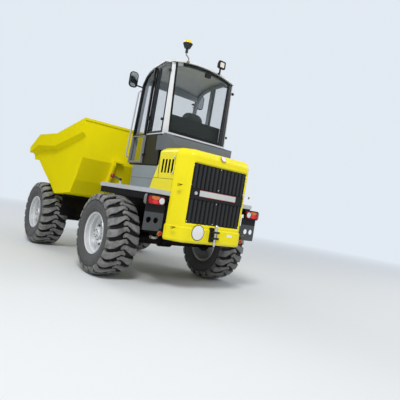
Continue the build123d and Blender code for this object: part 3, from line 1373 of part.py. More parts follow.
# Front chassis: the pivot boss, the beams, the cylinders' pins and the skip's hinge lugs
FRONT_BEAM_BACK = 180.0
FRONT_BEAM_END = 1750.0
with BuildPart() as front_chassis:
    with BuildSketch(Plane.XY.offset(PIVOT_LOW + 3)):
        with Locations((PIVOT_X, 0)):
            Circle(95)
    extrude(amount=PIVOT_TOP - LUG_THICK - PIVOT_LOW - 6)
    add(box_between((PIVOT_X, -90, 560), (340, 90, 800)))
    add(box_between((FRONT_BEAM_BACK, -BEAM_OUT, BEAM_LOW), (FRONT_BEAM_BACK + 40, BEAM_OUT, BEAM_TOP)))
    add(box_between((300, -206, 580), (320, 206, 800)))
    add(box_between((1560, -BEAM_OUT, BEAM_LOW), (1600, BEAM_OUT, BEAM_LOW + 90)))
    with BuildSketch(Plane.XY.offset(PIVOT_LOW)):
        with Locations((PIVOT_X, 0)):
            Circle(PIVOT_PIN_RADIUS + RUNNING_GAP)
    extrude(amount=PIVOT_TOP - PIVOT_LOW, mode=Mode.SUBTRACT)
    for side in (1, -1):
        for low, high in (
            ((FRONT_BEAM_BACK, BEAM_IN, BEAM_LOW), (FRONT_BEAM_END, BEAM_OUT, BEAM_TOP)),
            ((300, 190, 580), (TIP_BASE[0] + 35, 206, 800)),
            (
                (STEER_EYE[0], STEER_EYE[1] - 28, STEER_Z - 9),
                (STEER_EYE[0] + 60, STEER_EYE[1] + 28, STEER_Z + 9),
            ),
            (
                (STEER_EYE[0] + 50, STEER_EYE[1] - 28, STEER_Z - 9),
                (STEER_EYE[0] + 80, BEAM_OUT, BEAM_LOW + 5),
            ),
        ):
            mirrored_low = (low[0], min(side * low[1], side * high[1]), low[2])
            mirrored_high = (high[0], max(side * low[1], side * high[1]), high[2])
            add(box_between(mirrored_low, mirrored_high))
        with BuildSketch(Plane.XY.offset(STEER_Z - 9)):
            with Locations((STEER_EYE[0], side * STEER_EYE[1])):
                Circle(28)
        extrude(amount=18)
        with BuildSketch(side_plane(BEAM_OUT if side > 0 else -BEAM_IN)):
            with BuildLine():
                Polyline(
                    (SKIP_HINGE_X - 150, BEAM_TOP - 10),
                    (SKIP_HINGE_X - 50, SKIP_HINGE_Z),
                    (SKIP_HINGE_X + 50, SKIP_HINGE_Z),
                    (SKIP_HINGE_X + 50, BEAM_TOP - 10),
                    close=True,
                )
            make_face()
            with Locations((SKIP_HINGE_X, SKIP_HINGE_Z)):
                Circle(50)
        extrude(amount=BEAM_OUT - BEAM_IN)
        with BuildSketch(side_plane(SKIP_LUG_OUT + 12 if side > 0 else -BEAM_IN)):
            with Locations((SKIP_HINGE_X, SKIP_HINGE_Z)):
                Circle(SKIP_HINGE_PIN)
        extrude(amount=SKIP_LUG_OUT + 12 - BEAM_IN)
        with BuildSketch(side_plane(206 if side > 0 else -80)):
            with Locations(TIP_BASE):
                Circle(TIP_PIN_RADIUS)
        extrude(amount=126)
    add(box_between((FRONT_BEAM_END - 40, -BEAM_OUT, BEAM_LOW), (FRONT_BEAM_END, BEAM_OUT, BEAM_TOP)))
    with BuildSketch(cross_plane(FRONT_BEAM_END - 45)):
        with Locations((LASHING_Y, LASHING_Z), (-LASHING_Y, LASHING_Z)):
            Circle(LASHING_RADIUS)
    extrude(amount=50, mode=Mode.SUBTRACT)
    add(box_between((300, -90, 580), (TIP_BASE[0] + 35, 90, 660)))
save(front_chassis, "front_chassis")

# Mud shields: black plates behind the front tyres on brackets from the beams
with BuildPart() as mud_shields:
    add(box_between((650, 540, 632), (656, 1030, 975)))
    add(box_between((656, BEAM_OUT, 760), (686, 900, 800)))
    mirror(about=Plane.XZ)
save(mud_shields, "mud_shields")

# Tipping cylinders: barrels on the chassis pin, rods whose forks pass either side of the skip's lugs
tip_run = (TIP_EYE[0] - TIP_BASE[0], TIP_EYE[1] - TIP_BASE[1])
tip_length = hypot(*tip_run)
tip_direction = Vector(tip_run[0] / tip_length, 0, tip_run[1] / tip_length)
with BuildPart() as tip_barrels:
    for y in (TIP_Y, -TIP_Y):
        base = Vector(TIP_BASE[0], y, TIP_BASE[1])
        with BuildSketch(Plane(origin=base + tip_direction * 30, x_dir=(0, 1, 0), z_dir=tip_direction)):
            Circle(TIP_BARREL_RADIUS)
        extrude(amount=TIP_BARREL_LENGTH - 30)
        with BuildSketch(side_plane(y + 32)):
            with Locations(TIP_BASE):
                Circle(36)
        extrude(amount=64)
        with BuildSketch(side_plane(y + 40)):
            with Locations(TIP_BASE):
                Circle(TIP_PIN_RADIUS + RUNNING_GAP)
        extrude(amount=80, mode=Mode.SUBTRACT)
        with BuildSketch(Plane(origin=base + tip_direction * 60, x_dir=(0, 1, 0), z_dir=tip_direction)):
            Circle(TIP_ROD_RADIUS + RUNNING_GAP)
        extrude(amount=TIP_BARREL_LENGTH - 60, mode=Mode.SUBTRACT)
save(tip_barrels, "tip_barrels")

TIP_FORK = 92.0
with BuildPart() as tip_rods:
    for y in (TIP_Y, -TIP_Y):
        base = Vector(TIP_BASE[0], y, TIP_BASE[1])
        start = tip_length - TIP_FORK - TIP_ROD_LENGTH
        with BuildSketch(Plane(origin=base + tip_direction * start, x_dir=(0, 1, 0), z_dir=tip_direction)):
            Circle(TIP_ROD_RADIUS)
        extrude(amount=TIP_ROD_LENGTH)
        fork_start = Plane(
            origin=base + tip_direction * (tip_length - TIP_FORK), x_dir=(0, 1, 0), z_dir=tip_direction
        )
        with BuildSketch(fork_start):
            Rectangle(72, 50)
        extrude(amount=14)
        for offset_y in (-29, 29):
            with BuildSketch(fork_start):
                with Locations((offset_y, 0)):
                    Rectangle(14, 50)
            extrude(amount=TIP_FORK + 26)
save(tip_rods, "tip_rods")

# Steering cylinders: one each side of the pivot, between the two frames
steer_run = (STEER_EYE[0] - STEER_BASE[0], STEER_EYE[1] - STEER_BASE[1])
steer_length = hypot(*steer_run)
STEER_FORK = 80.0
for name, side in (("left", 1), ("right", -1)):
    direction = Vector(steer_run[0] / steer_length, side * steer_run[1] / steer_length, 0)
    base = Vector(STEER_BASE[0], side * STEER_BASE[1], STEER_Z)
    with BuildPart() as barrel:
        with BuildSketch(Plane(origin=base + direction * 38, x_dir=(0, 0, 1), z_dir=direction)):
            Circle(STEER_BARREL_RADIUS)
        extrude(amount=STEER_BARREL_LENGTH - 38)
        with BuildSketch(Plane.XY.offset(STEER_Z - 20)):
            with Locations((base.X, base.Y)):
                Circle(30)
        extrude(amount=40)
        with BuildSketch(Plane(origin=base + direction * 20, x_dir=(0, 0, 1), z_dir=direction)):
            Circle(20)
        extrude(amount=30)
        with BuildSketch(Plane.XY.offset(STEER_Z - 50)):
            with Locations((base.X, base.Y)):
                Circle(STEER_PIN_RADIUS + RUNNING_GAP)
        extrude(amount=80, mode=Mode.SUBTRACT)
        with BuildSketch(Plane(origin=base + direction * 50, x_dir=(0, 0, 1), z_dir=direction)):
            Circle(STEER_ROD_RADIUS + RUNNING_GAP)
        extrude(amount=STEER_BARREL_LENGTH - 50, mode=Mode.SUBTRACT)
    save(barrel, f"steer_barrel_{name}")
    with BuildPart() as rod:
        start = steer_length - STEER_FORK - STEER_ROD_LENGTH
        with BuildSketch(Plane(origin=base + direction * start, x_dir=(0, 0, 1), z_dir=direction)):
            Circle(STEER_ROD_RADIUS)
        extrude(amount=STEER_ROD_LENGTH)
        fork_start = Plane(
            origin=base + direction * (steer_length - STEER_FORK), x_dir=(0, 0, 1), z_dir=direction
        )
        with BuildSketch(fork_start):
            Rectangle(46, 36)
        extrude(amount=10)
        for offset_z in (-18, 18):
            with BuildSketch(fork_start):
                with Locations((offset_z, 0)):
                    Rectangle(10, 36)
            extrude(amount=STEER_FORK + 16)
    save(rod, f"steer_rod_{name}")
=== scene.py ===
# A ten-tonne site dumper: cab and hood on the rear frame, a front-tipping skip on the front frame.
import math

import bmesh
import bpy
from mathutils import Matrix, Vector


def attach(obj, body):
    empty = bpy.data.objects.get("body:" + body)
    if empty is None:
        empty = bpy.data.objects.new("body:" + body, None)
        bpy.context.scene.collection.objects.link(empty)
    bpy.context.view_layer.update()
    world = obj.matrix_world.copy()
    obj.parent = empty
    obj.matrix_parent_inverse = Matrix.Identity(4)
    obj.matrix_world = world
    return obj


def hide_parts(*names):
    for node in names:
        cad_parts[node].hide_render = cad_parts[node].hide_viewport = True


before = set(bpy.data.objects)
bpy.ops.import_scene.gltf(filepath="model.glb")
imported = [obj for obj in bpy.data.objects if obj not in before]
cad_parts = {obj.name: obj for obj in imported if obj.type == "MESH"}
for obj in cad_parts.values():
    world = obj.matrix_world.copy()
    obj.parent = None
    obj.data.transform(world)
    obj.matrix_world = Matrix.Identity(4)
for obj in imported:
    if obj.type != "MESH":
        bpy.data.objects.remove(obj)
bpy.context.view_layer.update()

# Camera: low down behind the left rear wheel, rolled with the slope that the machine climbs.
# Its place and turn are given in the machine's own upright frame, in metres and degrees.
CAMERA_PLACE = (-6.94072, 3.88087, 1.22018)
CAMERA_YAW, CAMERA_PITCH, CAMERA_ROLL = (math.radians(a) for a in (-38.12561, 0.64404, 9.30474))

look = Vector((
    math.cos(CAMERA_PITCH) * math.cos(CAMERA_YAW),
    math.cos(CAMERA_PITCH) * math.sin(CAMERA_YAW),
    math.sin(CAMERA_PITCH),
))
level = look.cross(Vector((0, 0, 1))).normalized()
upright = level.cross(look)
across = math.cos(CAMERA_ROLL) * level + math.sin(CAMERA_ROLL) * upright
above = -math.sin(CAMERA_ROLL) * level + math.cos(CAMERA_ROLL) * upright
camera_data = bpy.data.cameras.new("camera")
camera_data.lens = 38.72
camera_data.sensor_width = 36.0
camera_data.sensor_fit = "HORIZONTAL"
camera_data.clip_end = 400.0
camera = bpy.data.objects.new("camera", camera_data)
turn = Matrix((across, above, -look)).transposed()
camera.matrix_world = Matrix.Translation(CAMERA_PLACE) @ turn.to_4x4()
bpy.context.collection.objects.link(camera)
bpy.context.scene.camera = camera
bpy.context.scene.view_settings.view_transform = "Standard"

# Studio: a pale floor that fades into an even pale backdrop, one broad lamp high behind the camera
# on the left, a weaker one on its right, one over the front, and an even world between them.
BACKDROP = (0.76, 0.82, 0.89)
FLOOR_HALF = 150.0
FADE_FROM, FADE_TO = 4.5, 17.0


def new_material(name):
    """A material with its node tree and its main shader."""
    made = bpy.data.materials.new(name)
    made.use_nodes = True
    return made, made.node_tree, made.node_tree.nodes["Principled BSDF"]


def add_node(tree, kind, inputs=None, **settings):
    """A shader node with its settings, whose inputs are numbers, colours or other nodes' outputs."""
    made = tree.nodes.new(kind)
    for key, value in settings.items():
        setattr(made, key, value)
    for key, value in (inputs or {}).items():
        if isinstance(value, bpy.types.NodeSocket):
            tree.links.new(value, made.inputs[key])
        elif made.inputs[key].type == "RGBA" and len(value) == 3:
            made.inputs[key].default_value = (*value, 1)
        else:
            made.inputs[key].default_value = value
    return made


def ramp(tree, value, start, end, low=0.0, high=1.0):
    """A value stretched from one range to another and held at its ends."""
    inputs = {"Value": value, "From Min": start, "From Max": end, "To Min": low, "To Max": high}
    return add_node(tree, "ShaderNodeMapRange", inputs).outputs[0]


def maths(tree, operation, first, *others):
    """Numbers put together one after another."""
    for other in others or (0.0,):
        first = add_node(tree, "ShaderNodeMath", {0: first, 1: other}, operation=operation).outputs[0]
    return first


def new_piece(name, verts, faces, material, smooth_angle=40.0):
    """A mesh piece at the origin, smooth but for edges sharper than an angle, its faces outwards."""
    mesh = bpy.data.meshes.new(name)
    mesh.from_pydata([tuple(v) for v in verts], [], faces)
    shape = bmesh.new()
    shape.from_mesh(mesh)
    bmesh.ops.remove_doubles(shape, verts=shape.verts, dist=0.00002)
    bmesh.ops.recalc_face_normals(shape, faces=shape.faces)
    shape.to_mesh(mesh)
    shape.free()
    mesh.materials.append(material)
    piece = bpy.data.objects.new(name, mesh)
    bpy.context.collection.objects.link(piece)
    mesh.shade_smooth()
    mesh.set_sharp_from_angle(angle=math.radians(smooth_angle))
    return piece


floor_material, tree, shader = new_material("pale_floor")
shader.inputs["Base Color"].default_value = (0.70, 0.72, 0.73, 1)
shader.inputs["Roughness"].default_value = 0.9
place = add_node(tree, "ShaderNodeTexCoord").outputs["Object"]
away = add_node(tree, "ShaderNodeVectorMath", {0: place}, operation="LENGTH").outputs["Value"]
seen_ray = add_node(tree, "ShaderNodeLightPath").outputs["Is Camera Ray"]
fade = maths(tree, "MULTIPLY", ramp(tree, away, FADE_FROM, FADE_TO), seen_ray)
glow = add_node(tree, "ShaderNodeEmission", {"Color": BACKDROP, "Strength": 1.0})
blend = add_node(tree, "ShaderNodeMixShader", {0: fade, 1: shader.outputs[0], 2: glow.outputs[0]})
tree.links.new(blend.outputs[0], tree.nodes["Material Output"].inputs["Surface"])
corners = [(-FLOOR_HALF, -FLOOR_HALF, 0), (FLOOR_HALF, -FLOOR_HALF, 0)]
corners += [(FLOOR_HALF, FLOOR_HALF, 0), (-FLOOR_HALF, FLOOR_HALF, 0)]
floor = new_piece("floor", corners, [(0, 1, 2, 3)], floor_material)

world = bpy.data.worlds.new("studio")
bpy.context.scene.world = world
world.use_nodes = True
tree = world.node_tree
plain = tree.nodes["Background"]
plain.inputs["Color"].default_value = (0.93, 0.96, 1.0, 1)
plain.inputs["Strength"].default_value = 0.45
seen = add_node(tree, "ShaderNodeBackground", {"Color": BACKDROP, "Strength": 1.0})
path = add_node(tree, "ShaderNodeLightPath")
rays = [path.outputs[name] for name in ("Is Camera Ray", "Is Glossy Ray", "Is Transmission Ray")]
either = maths(tree, "MAXIMUM", *rays)
blend = add_node(tree, "ShaderNodeMixShader", {0: either, 1: plain.outputs[0], 2: seen.outputs[0]})
tree.links.new(blend.outputs[0], tree.nodes["World Output"].inputs["Surface"])

for name, place, aim, size, energy in (
    ("lamp_behind_left", (-7.5, 6.0, 10.0), (-0.5, 0.0, 1.2), 3.0, 1000.0),
    ("lamp_right", (-6.0, -9.0, 6.0), (-0.5, 0.0, 1.2), 6.0, 300.0),
    ("lamp_front", (9.0, 2.0, 9.0), (0.5, 0.0, 1.4), 6.0, 320.0),
):
    lamp_data = bpy.data.lights.new(name, "AREA")
    lamp_data.size = size
    lamp_data.energy = energy
    lamp = bpy.data.objects.new(name, lamp_data)
    lamp.location = place
    lamp.rotation_euler = (Vector(aim) - Vector(place)).to_track_quat("-Z", "Y").to_euler()
    bpy.context.collection.objects.link(lamp)

# Skip: folded and welded steel plate with a bent band round its rim, in gloss yellow paint outside.
# Inside, loads have worn the paint through to scored and browned steel. Two plain yellow brackets are
# welded to its rear.
YELLOW = (0.87, 0.745, 0.006)
SKIP_MIDDLE = (1.2, 0.0, 2.3)
SKIP_FOOT, RUBBED_TO = 1.030, 2.25
EARTH = (0.26, 0.19, 0.11)


def mixed(tree, factor, first, second):
    """One colour laid over another by a factor."""
    node = add_node(tree, "ShaderNodeMix", {"Factor": factor, 6: first, 7: second}, data_type="RGBA")
    return node.outputs[2]


def cloud(tree, place, scale, detail=6.0, roughness=0.6):
    """Soft uneven patches through the whole object."""
    inputs = {"Vector": place, "Scale": scale, "Detail": detail, "Roughness": roughness}
    return add_node(tree, "ShaderNodeTexNoise", inputs).outputs["Fac"]


def coordinate(tree, place, name):
    """One coordinate of a place."""
    return add_node(tree, "ShaderNodeSeparateXYZ", {"Vector": place}).outputs[name]


def faces_middle(tree, place, middle):
    """1 on surfaces that look towards a point inside the shell."""
    normal = add_node(tree, "ShaderNodeTexCoord").outputs["Normal"]
    inward = add_node(tree, "ShaderNodeVectorMath", {0: middle, 1: place}, operation="SUBTRACT").outputs[0]
    facing = add_node(tree, "ShaderNodeVectorMath", {0: inward, 1: normal}, operation="DOT_PRODUCT")
    return ramp(tree, facing.outputs["Value"], 0.10, 0.16)


def coated(name, colour, roughness, dust=0.1, dust_top=1.6, dust_foot=0.3, grain=260.0, depth=0.0004,
           tone=0.05, gloss=0.0, metal=0.0, specular=0.18):
    """A painted or moulded surface: uneven tone, a fine grain, and dust that gathers lower down."""
    made, tree, shader = new_material(name)
    place = add_node(tree, "ShaderNodeTexCoord").outputs["Object"]
    plain = colour(tree, place) if callable(colour) else colour
    shade = ramp(tree, cloud(tree, place, 1.7, 4.0), 0.3, 0.7, 0.0, tone * 2)
    toned = mixed(tree, shade, plain, (0.0, 0.0, 0.0))
    low_down = ramp(tree, coordinate(tree, place, "Z"), dust_top, dust_foot, dust * 0.2, dust)
    low_down = maths(tree, "MULTIPLY", low_down, ramp(tree, cloud(tree, place, 3.4, 9.0, 0.68), 0.42, 0.7))
    tree.links.new(mixed(tree, low_down, toned, EARTH), shader.inputs["Base Color"])
    tree.links.new(ramp(tree, low_down, 0.0, 1.0, roughness, 0.9), shader.inputs["Roughness"])
    fine = cloud(tree, place, grain, 2.0)
    bump = add_node(tree, "ShaderNodeBump", {"Height": fine, "Strength": 0.35, "Distance": depth})
    tree.links.new(bump.outputs[0], shader.inputs["Normal"])
    shader.inputs["Metallic"].default_value = metal
    shader.inputs["Coat Weight"].default_value = gloss
    shader.inputs["Coat Roughness"].default_value = 0.1
    shader.inputs["Specular IOR Level"].default_value = specular
    return made


def dress(material, *nodes):
    """Give CAD nodes their finish."""
    for name in nodes:
        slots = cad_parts[name].data.materials
        slots.clear()
        slots.append(material)


def skip_colours(tree, place):
    """Yellow outside; inside, steel scored along the load's way out and browned in patches."""
    rubbed = cloud(tree, place, 2.6, 10.0, 0.7)
    drawn = add_node(tree, "ShaderNodeMapping", {"Vector": place, "Scale": (1.5, 30.0, 6.0)}).outputs[0]
    scored = maths(tree, "ADD", rubbed, cloud(tree, drawn, 3.0, 5.0))
    height = coordinate(tree, place, "Z")
    above_foot = ramp(tree, height, SKIP_FOOT, SKIP_FOOT + 0.002)
    inside = maths(tree, "MULTIPLY", faces_middle(tree, place, SKIP_MIDDLE), above_foot)
    deep = ramp(tree, height, RUBBED_TO, 1.45, 0.0, 0.55)
    worn = ramp(tree, maths(tree, "ADD", scored, deep), 1.10, 1.26)
    steel = mixed(tree, ramp(tree, scored, 0.7, 1.3), (0.13, 0.105, 0.085), (0.33, 0.31, 0.28))
    return mixed(tree, maths(tree, "MULTIPLY", inside, worn), YELLOW, steel)


for name, colour, node in (("skip_paint", skip_colours, "skip"), ("bracket_paint", YELLOW, "skip_brackets")):
    paint = coated(name, colour, 0.42, dust=0.10, dust_top=1.3, dust_foot=0.95, specular=0.0, tone=0.02)
    dress(paint, node)

# Frames: two plate beams and cross plates each, cut and welded, joined at the upright centre pin, with
# the axles bolted under them and the plate wings beside them, all in satin black paint under dust.
chassis_black = coated("chassis_black", (0.006, 0.006, 0.007), 0.50, dust=0.16, dust_top=1.0, tone=0.2,
                       specular=0.08)
dress(chassis_black, "rear_chassis", "front_chassis", "rear_axle", "front_axle", "wings", "wing_brackets",
      "mud_shields")

# Rubber lips: a strip bolted along each mud shield's upper edge, which closes the gap to the skip.
LIP_X, LIP_Y, LIP_Z = (0.6630, 0.6720), (0.400, 1.020), (0.945, 1.019)
LIP_RINGS, LIP_WAVE, LIP_BEAT = 13, 0.0012, 1.7


def ring_faces(start, rings, count, first=True):
    """Faces between closed rings of points that follow each other, and flat ends on the outer rings."""
    faces = []
    for ring in range(rings - 1):
        for k in range(count):
            a, b = start + ring * count + k, start + ring * count + (k + 1) % count
            faces.append((a, b, b + count, a + count))
    ends = (0, rings - 1) if first else (rings - 1,)
    return faces + [tuple(start + ring * count + k for k in range(count)) for ring in ends]


dark_rubber = coated("dark_rubber", (0.010, 0.010, 0.011), 0.55, dust=0.1, grain=600.0, depth=0.0004)
verts, faces = [], []
for side in (1, -1):
    faces += ring_faces(len(verts), LIP_RINGS, 4)
    for i in range(LIP_RINGS):
        y = side * (LIP_Y[0] + (LIP_Y[1] - LIP_Y[0]) * i / (LIP_RINGS - 1))
        top = LIP_Z[1] + LIP_WAVE * math.sin(i * LIP_BEAT)
        for x, z in ((LIP_X[0], LIP_Z[0]), (LIP_X[1], LIP_Z[0]), (LIP_X[1], top), (LIP_X[0], top)):
            verts.append((x, y, z))
lips = new_piece("shield_lips", verts, faces, dark_rubber)
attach(lips, "front_frame")

# Cylinders and pins: honed tubes painted black, with chromed rods and plain turned pins greased in
# their bores.
cylinder_black = coated("cylinder_black", (0.012, 0.012, 0.013), 0.35, dust=0.2, dust_top=1.2)
dress(cylinder_black, "tip_barrels", "steer_barrel_left", "steer_barrel_right")
chrome_rod = coated("chrome_rod", (0.66, 0.66, 0.65), 0.14, dust=0.08, metal=0.95, grain=500.0, depth=0.0001)
dress(chrome_rod, "tip_rods", "steer_rod_left", "steer_rod_right")
turned_steel = coated("turned_steel", (0.70, 0.70, 0.69), 0.26, dust=0.05, metal=0.9, grain=420.0,
                      depth=0.0002)
dress(turned_steel, "pivot_pin", "tow_pin")

# Tyres: wide flotation tyres of ribbed rubber with long hooked lugs, moulded in staggered pairs that
# pass the middle. Dust lies grey on the lugs' faces and ochre along their edges. The grooves and the lugs'
# feet are painted near black, the rubber's own dark deepened with painted shade.
AXLE_Z = 0.585
TRACK = 1.010
LUGS = 22
TREAD_RADIUS, FLANK_RADIUS, WIDEST = 0.565, 0.515, 0.2392
# Each wheel's name, its axle's place and its side
WHEELS = (
    ("rear_left", -1.250, 1), ("rear_right", -1.250, -1),
    ("front_left", 1.445, 1), ("front_right", 1.445, -1),
)
# Outward from the tyre's middle, and the radius
SIDE_WALL = (
    (0.190, 0.286), (0.204, 0.303), (0.212, 0.312), (0.224, 0.345), (0.231, 0.352), (0.235, 0.392),
    (WIDEST, 0.398), (WIDEST, 0.424), (0.237, 0.470), (0.229, 0.500),
)
CROWN = ((0.212, 0.522), (0.180, 0.537), (0.110, 0.545), (0.0, 0.547))
LINING = ((0.172, 0.286), (0.205, 0.420), (0.160, 0.515))
# A lug's near and far edge, each outward from the tyre's middle and round it, its top and foot radius
LUG_STATIONS = (
    ((-0.042, 0.029), (-0.048, 0.060), 0.5830, 0.543),
    ((-0.014, 0.038), (-0.014, 0.097), 0.5843, 0.544),
    ((0.008, 0.043), (0.010, 0.099), 0.5844, 0.545),
    ((0.034, 0.028), (0.026, 0.096), 0.5843, 0.545),
    ((0.090, -0.006), (0.088, 0.073), 0.5830, 0.544),
    ((0.145, -0.041), (0.142, 0.058), 0.5815, 0.540),
    ((0.188, -0.051), (0.188, 0.0525), 0.5730, 0.530),
    ((0.214, -0.056), (0.214, 0.0495), 0.5600, 0.512),
    ((0.231, -0.059), (0.231, 0.0475), 0.5330, 0.495),
    ((0.2385, -0.0605), (0.2385, 0.0465), 0.5100, 0.480),
    ((WIDEST, -0.058), (WIDEST, 0.044), 0.4850, 0.464),
)
LUG_SHOULDER = 0.006

tyre_rubber, tree, shader = new_material("tyre_rubber")
place = add_node(tree, "ShaderNodeTexCoord").outputs["Object"]
proud = add_node(tree, "ShaderNodeAttribute", attribute_name="proud").outputs["Fac"]
flank = add_node(tree, "ShaderNodeAttribute", attribute_name="flank").outputs["Fac"]
patchy = cloud(tree, place, 9.0, 10.0, 0.7)
# Between the lugs the base is painted near black, the rubber's own dark deepened with painted shade; the
# sidewall is grey.
rubber = mixed(tree, flank, (0.009, 0.009, 0.009), (0.082, 0.081, 0.080))
dusty = mixed(tree, ramp(tree, patchy, 0.35, 0.62), (0.110, 0.111, 0.110), (0.255, 0.255, 0.248))
# The lugs keep the grooves' painted shade up their lower flanks and turn dusty grey on their faces.
rubber = mixed(tree, ramp(tree, proud, 0.55, 1.0), rubber, dusty)
edge = maths(tree, "MULTIPLY", ramp(tree, proud, 0.25, 0.55), ramp(tree, proud, 0.98, 0.80))
edge = maths(tree, "MULTIPLY", edge, ramp(tree, cloud(tree, place, 14.0, 8.0, 0.7), 0.50, 0.62))
rubber = mixed(tree, edge, rubber, (0.26, 0.22, 0.15))
tree.links.new(rubber, shader.inputs["Base Color"])
tree.links.new(ramp(tree, patchy, 0.3, 0.7, 0.42, 0.75), shader.inputs["Roughness"])
fine = cloud(tree, place, 140.0, 6.0)
bump = add_node(tree, "ShaderNodeBump", {"Height": fine, "Strength": 0.5, "Distance": 0.0015})
tree.links.new(bump.outputs[0], shader.inputs["Normal"])
shader.inputs["Specular IOR Level"].default_value = 0.25


def mark(piece, name, value_at):
    """Keep a number at each point of a piece, worked out from its place, for its material to read."""
    kept = piece.data.attributes.new(name, "FLOAT", "POINT")
    for i, point in enumerate(piece.data.vertices):
        kept.data[i].value = value_at(point.co)


def set_out(name, unit, places, turns, material, size=1.0, smooth_angle=38.0):
    """Copies of a unit at each place, turned, made by Geometry Nodes into one plain mesh."""
    group = bpy.data.node_groups.new(name, "GeometryNodeTree")
    for label, kind in (
        ("Places", "NodeSocketGeometry"), ("Unit", "NodeSocketObject"), ("Size", "NodeSocketFloat"),
    ):
        group.interface.new_socket(label, in_out="INPUT", socket_type=kind)
    group.interface.new_socket("Copies", in_out="OUTPUT", socket_type="NodeSocketGeometry")
    given = group.nodes.new("NodeGroupInput")
    made = group.nodes.new("NodeGroupOutput")
    source = group.nodes.new("GeometryNodeObjectInfo")
    turn = group.nodes.new("GeometryNodeInputNamedAttribute")
    turn.data_type = "FLOAT_VECTOR"
    turn.inputs["Name"].default_value = "turn"
    spread = group.nodes.new("GeometryNodeInstanceOnPoints")
    real = group.nodes.new("GeometryNodeRealizeInstances")
    finish = group.nodes.new("GeometryNodeSetMaterial")
    finish.inputs["Material"].default_value = material
    for output, target in (
        (given.outputs["Places"], spread.inputs["Points"]), (given.outputs["Unit"], source.inputs["Object"]),
        (source.outputs["Geometry"], spread.inputs["Instance"]), (turn.outputs[0], spread.inputs["Rotation"]),
        (given.outputs["Size"], spread.inputs["Scale"]), (spread.outputs[0], real.inputs[0]),
        (real.outputs[0], finish.inputs["Geometry"]), (finish.outputs[0], made.inputs[0]),
    ):
        group.links.new(output, target)
    mesh = bpy.data.meshes.new(name)
    mesh.from_pydata([tuple(p) for p in places], [], [])
    kept = mesh.attributes.new("turn", "FLOAT_VECTOR", "POINT")
    for i, value in enumerate(turns):
        kept.data[i].vector = value
    host = bpy.data.objects.new(name, mesh)
    bpy.context.collection.objects.link(host)
    modifier = host.modifiers.new("copies", "NODES")
    modifier.node_group = group
    for item in group.interface.items_tree:
        if item.in_out == "INPUT" and item.name in ("Unit", "Size"):
            modifier[item.identifier] = unit if item.name == "Unit" else size
    bpy.context.view_layer.update()
    evaluated = host.evaluated_get(bpy.context.evaluated_depsgraph_get())
    result = bpy.data.meshes.new_from_object(evaluated)
    host.modifiers.clear()
    host.data = result
    result.shade_smooth()
    result.set_sharp_from_angle(angle=math.radians(smooth_angle))
    bpy.data.objects.remove(unit)
    return host


def joined(target, *others):
    """Join pieces into the first."""
    bpy.ops.object.select_all(action="DESELECT")
    for piece in (target, *others):
        piece.select_set(True)
    bpy.context.view_layer.objects.active = target
    bpy.ops.object.join()
    return target


def turned_shape(profile, centre, segments, axis="y"):
    """Points and faces of a closed profile of (offset, radius) turned about a wheel's or a lamp's axis."""
    verts, faces, count = [], [], len(profile)
    for i in range(segments):
        angle = 2 * math.pi * i / segments
        for offset, radius in profile:
            side, up = radius * math.sin(angle), radius * math.cos(angle)
            step = {"x": (offset, side, up), "y": (side, offset, up), "z": (side, up, offset)}[axis]
            verts.append(tuple(c + s for c, s in zip(centre, step)))
    for i in range(segments):
        for k in range(count):
            a, b = i * count + k, i * count + (k + 1) % count
            c, d = ((i + 1) % segments) * count + (k + 1) % count, ((i + 1) % segments) * count + k
            faces.append((a, b, c, d))
    return verts, faces


def lug_shape(side, shift):
    """One lug as rings of six points across it, on one half of the tyre and shifted round it."""
    verts = []
    for near, far, top, foot in LUG_STATIONS:
        width = math.hypot(far[0] - near[0], far[1] - near[1])
        step = LUG_SHOULDER / width
        for share, radius in (
            (-1.6 * step, foot), (0.0, top - LUG_SHOULDER), (step, top),
            (1 - step, top), (1.0, top - LUG_SHOULDER), (1 + 1.6 * step, foot),
        ):
            offset = min(near[0] + share * (far[0] - near[0]), WIDEST)
            angle = (near[1] + share * (far[1] - near[1])) / TREAD_RADIUS + shift
            verts.append((radius * math.sin(angle), side * offset, radius * math.cos(angle)))
    return verts, ring_faces(0, len(LUG_STATIONS), 6)


def height_on_lug(point):
    """From a lug's foot to its face, as a share."""
    radius = math.hypot(point.x, point.z)
    nearest = min(LUG_STATIONS, key=lambda s: abs(abs(point.y) - s[0][0]) + abs(radius - s[2]) * 0.5)
    return max(0.0, min(1.0, (radius - nearest[3]) / (nearest[2] - nearest[3])))


tyre_section = [(-v, radius) for v, radius in SIDE_WALL + CROWN]
tyre_section += list(reversed(SIDE_WALL + CROWN[:-1]))
tyre_section += list(LINING) + [(-v, radius) for v, radius in reversed(LINING)]
for name, axle_x, side in WHEELS:
    centre = (axle_x, side * TRACK, AXLE_Z)
    tyre = new_piece(f"tread_{name}", *turned_shape(tyre_section, centre, 110), tyre_rubber, 30)
    middle = Vector(centre)
    mark(tyre, "flank", lambda p: 1.0 if math.hypot(p.x - middle.x, p.z - middle.z) < FLANK_RADIUS else 0.0)
    lug_verts, lug_faces = [], []
    for half, shift in ((1, 0.0), (-1, math.pi / LUGS)):
        verts, faces = lug_shape(half, shift)
        lug_faces += [tuple(i + len(lug_verts) for i in face) for face in faces]
        lug_verts += verts
    lug_pair = new_piece(f"lug_pair_{name}", lug_verts, lug_faces, tyre_rubber)
    mark(lug_pair, "proud", height_on_lug)
    turns = [(0.0, 2 * math.pi * i / LUGS, 0.0) for i in range(LUGS)]
    lugs = set_out(f"lugs_{name}", lug_pair, [centre] * LUGS, turns, tyre_rubber, smooth_angle=32)
    joined(tyre, lugs)
    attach(tyre, f"wheel_{name}")
    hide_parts(f"tyre_{name}")

# Rims: pressed steel dishes in silver paint, spotted with brown. Ten nuts hold each of them, and the
# nuts have rusted.
NUT_CIRCLE, NUT_RADIUS, NUT_HEIGHT, NUT_SEAT, NUTS = 0.172, 0.016, 0.020, 0.060, 10


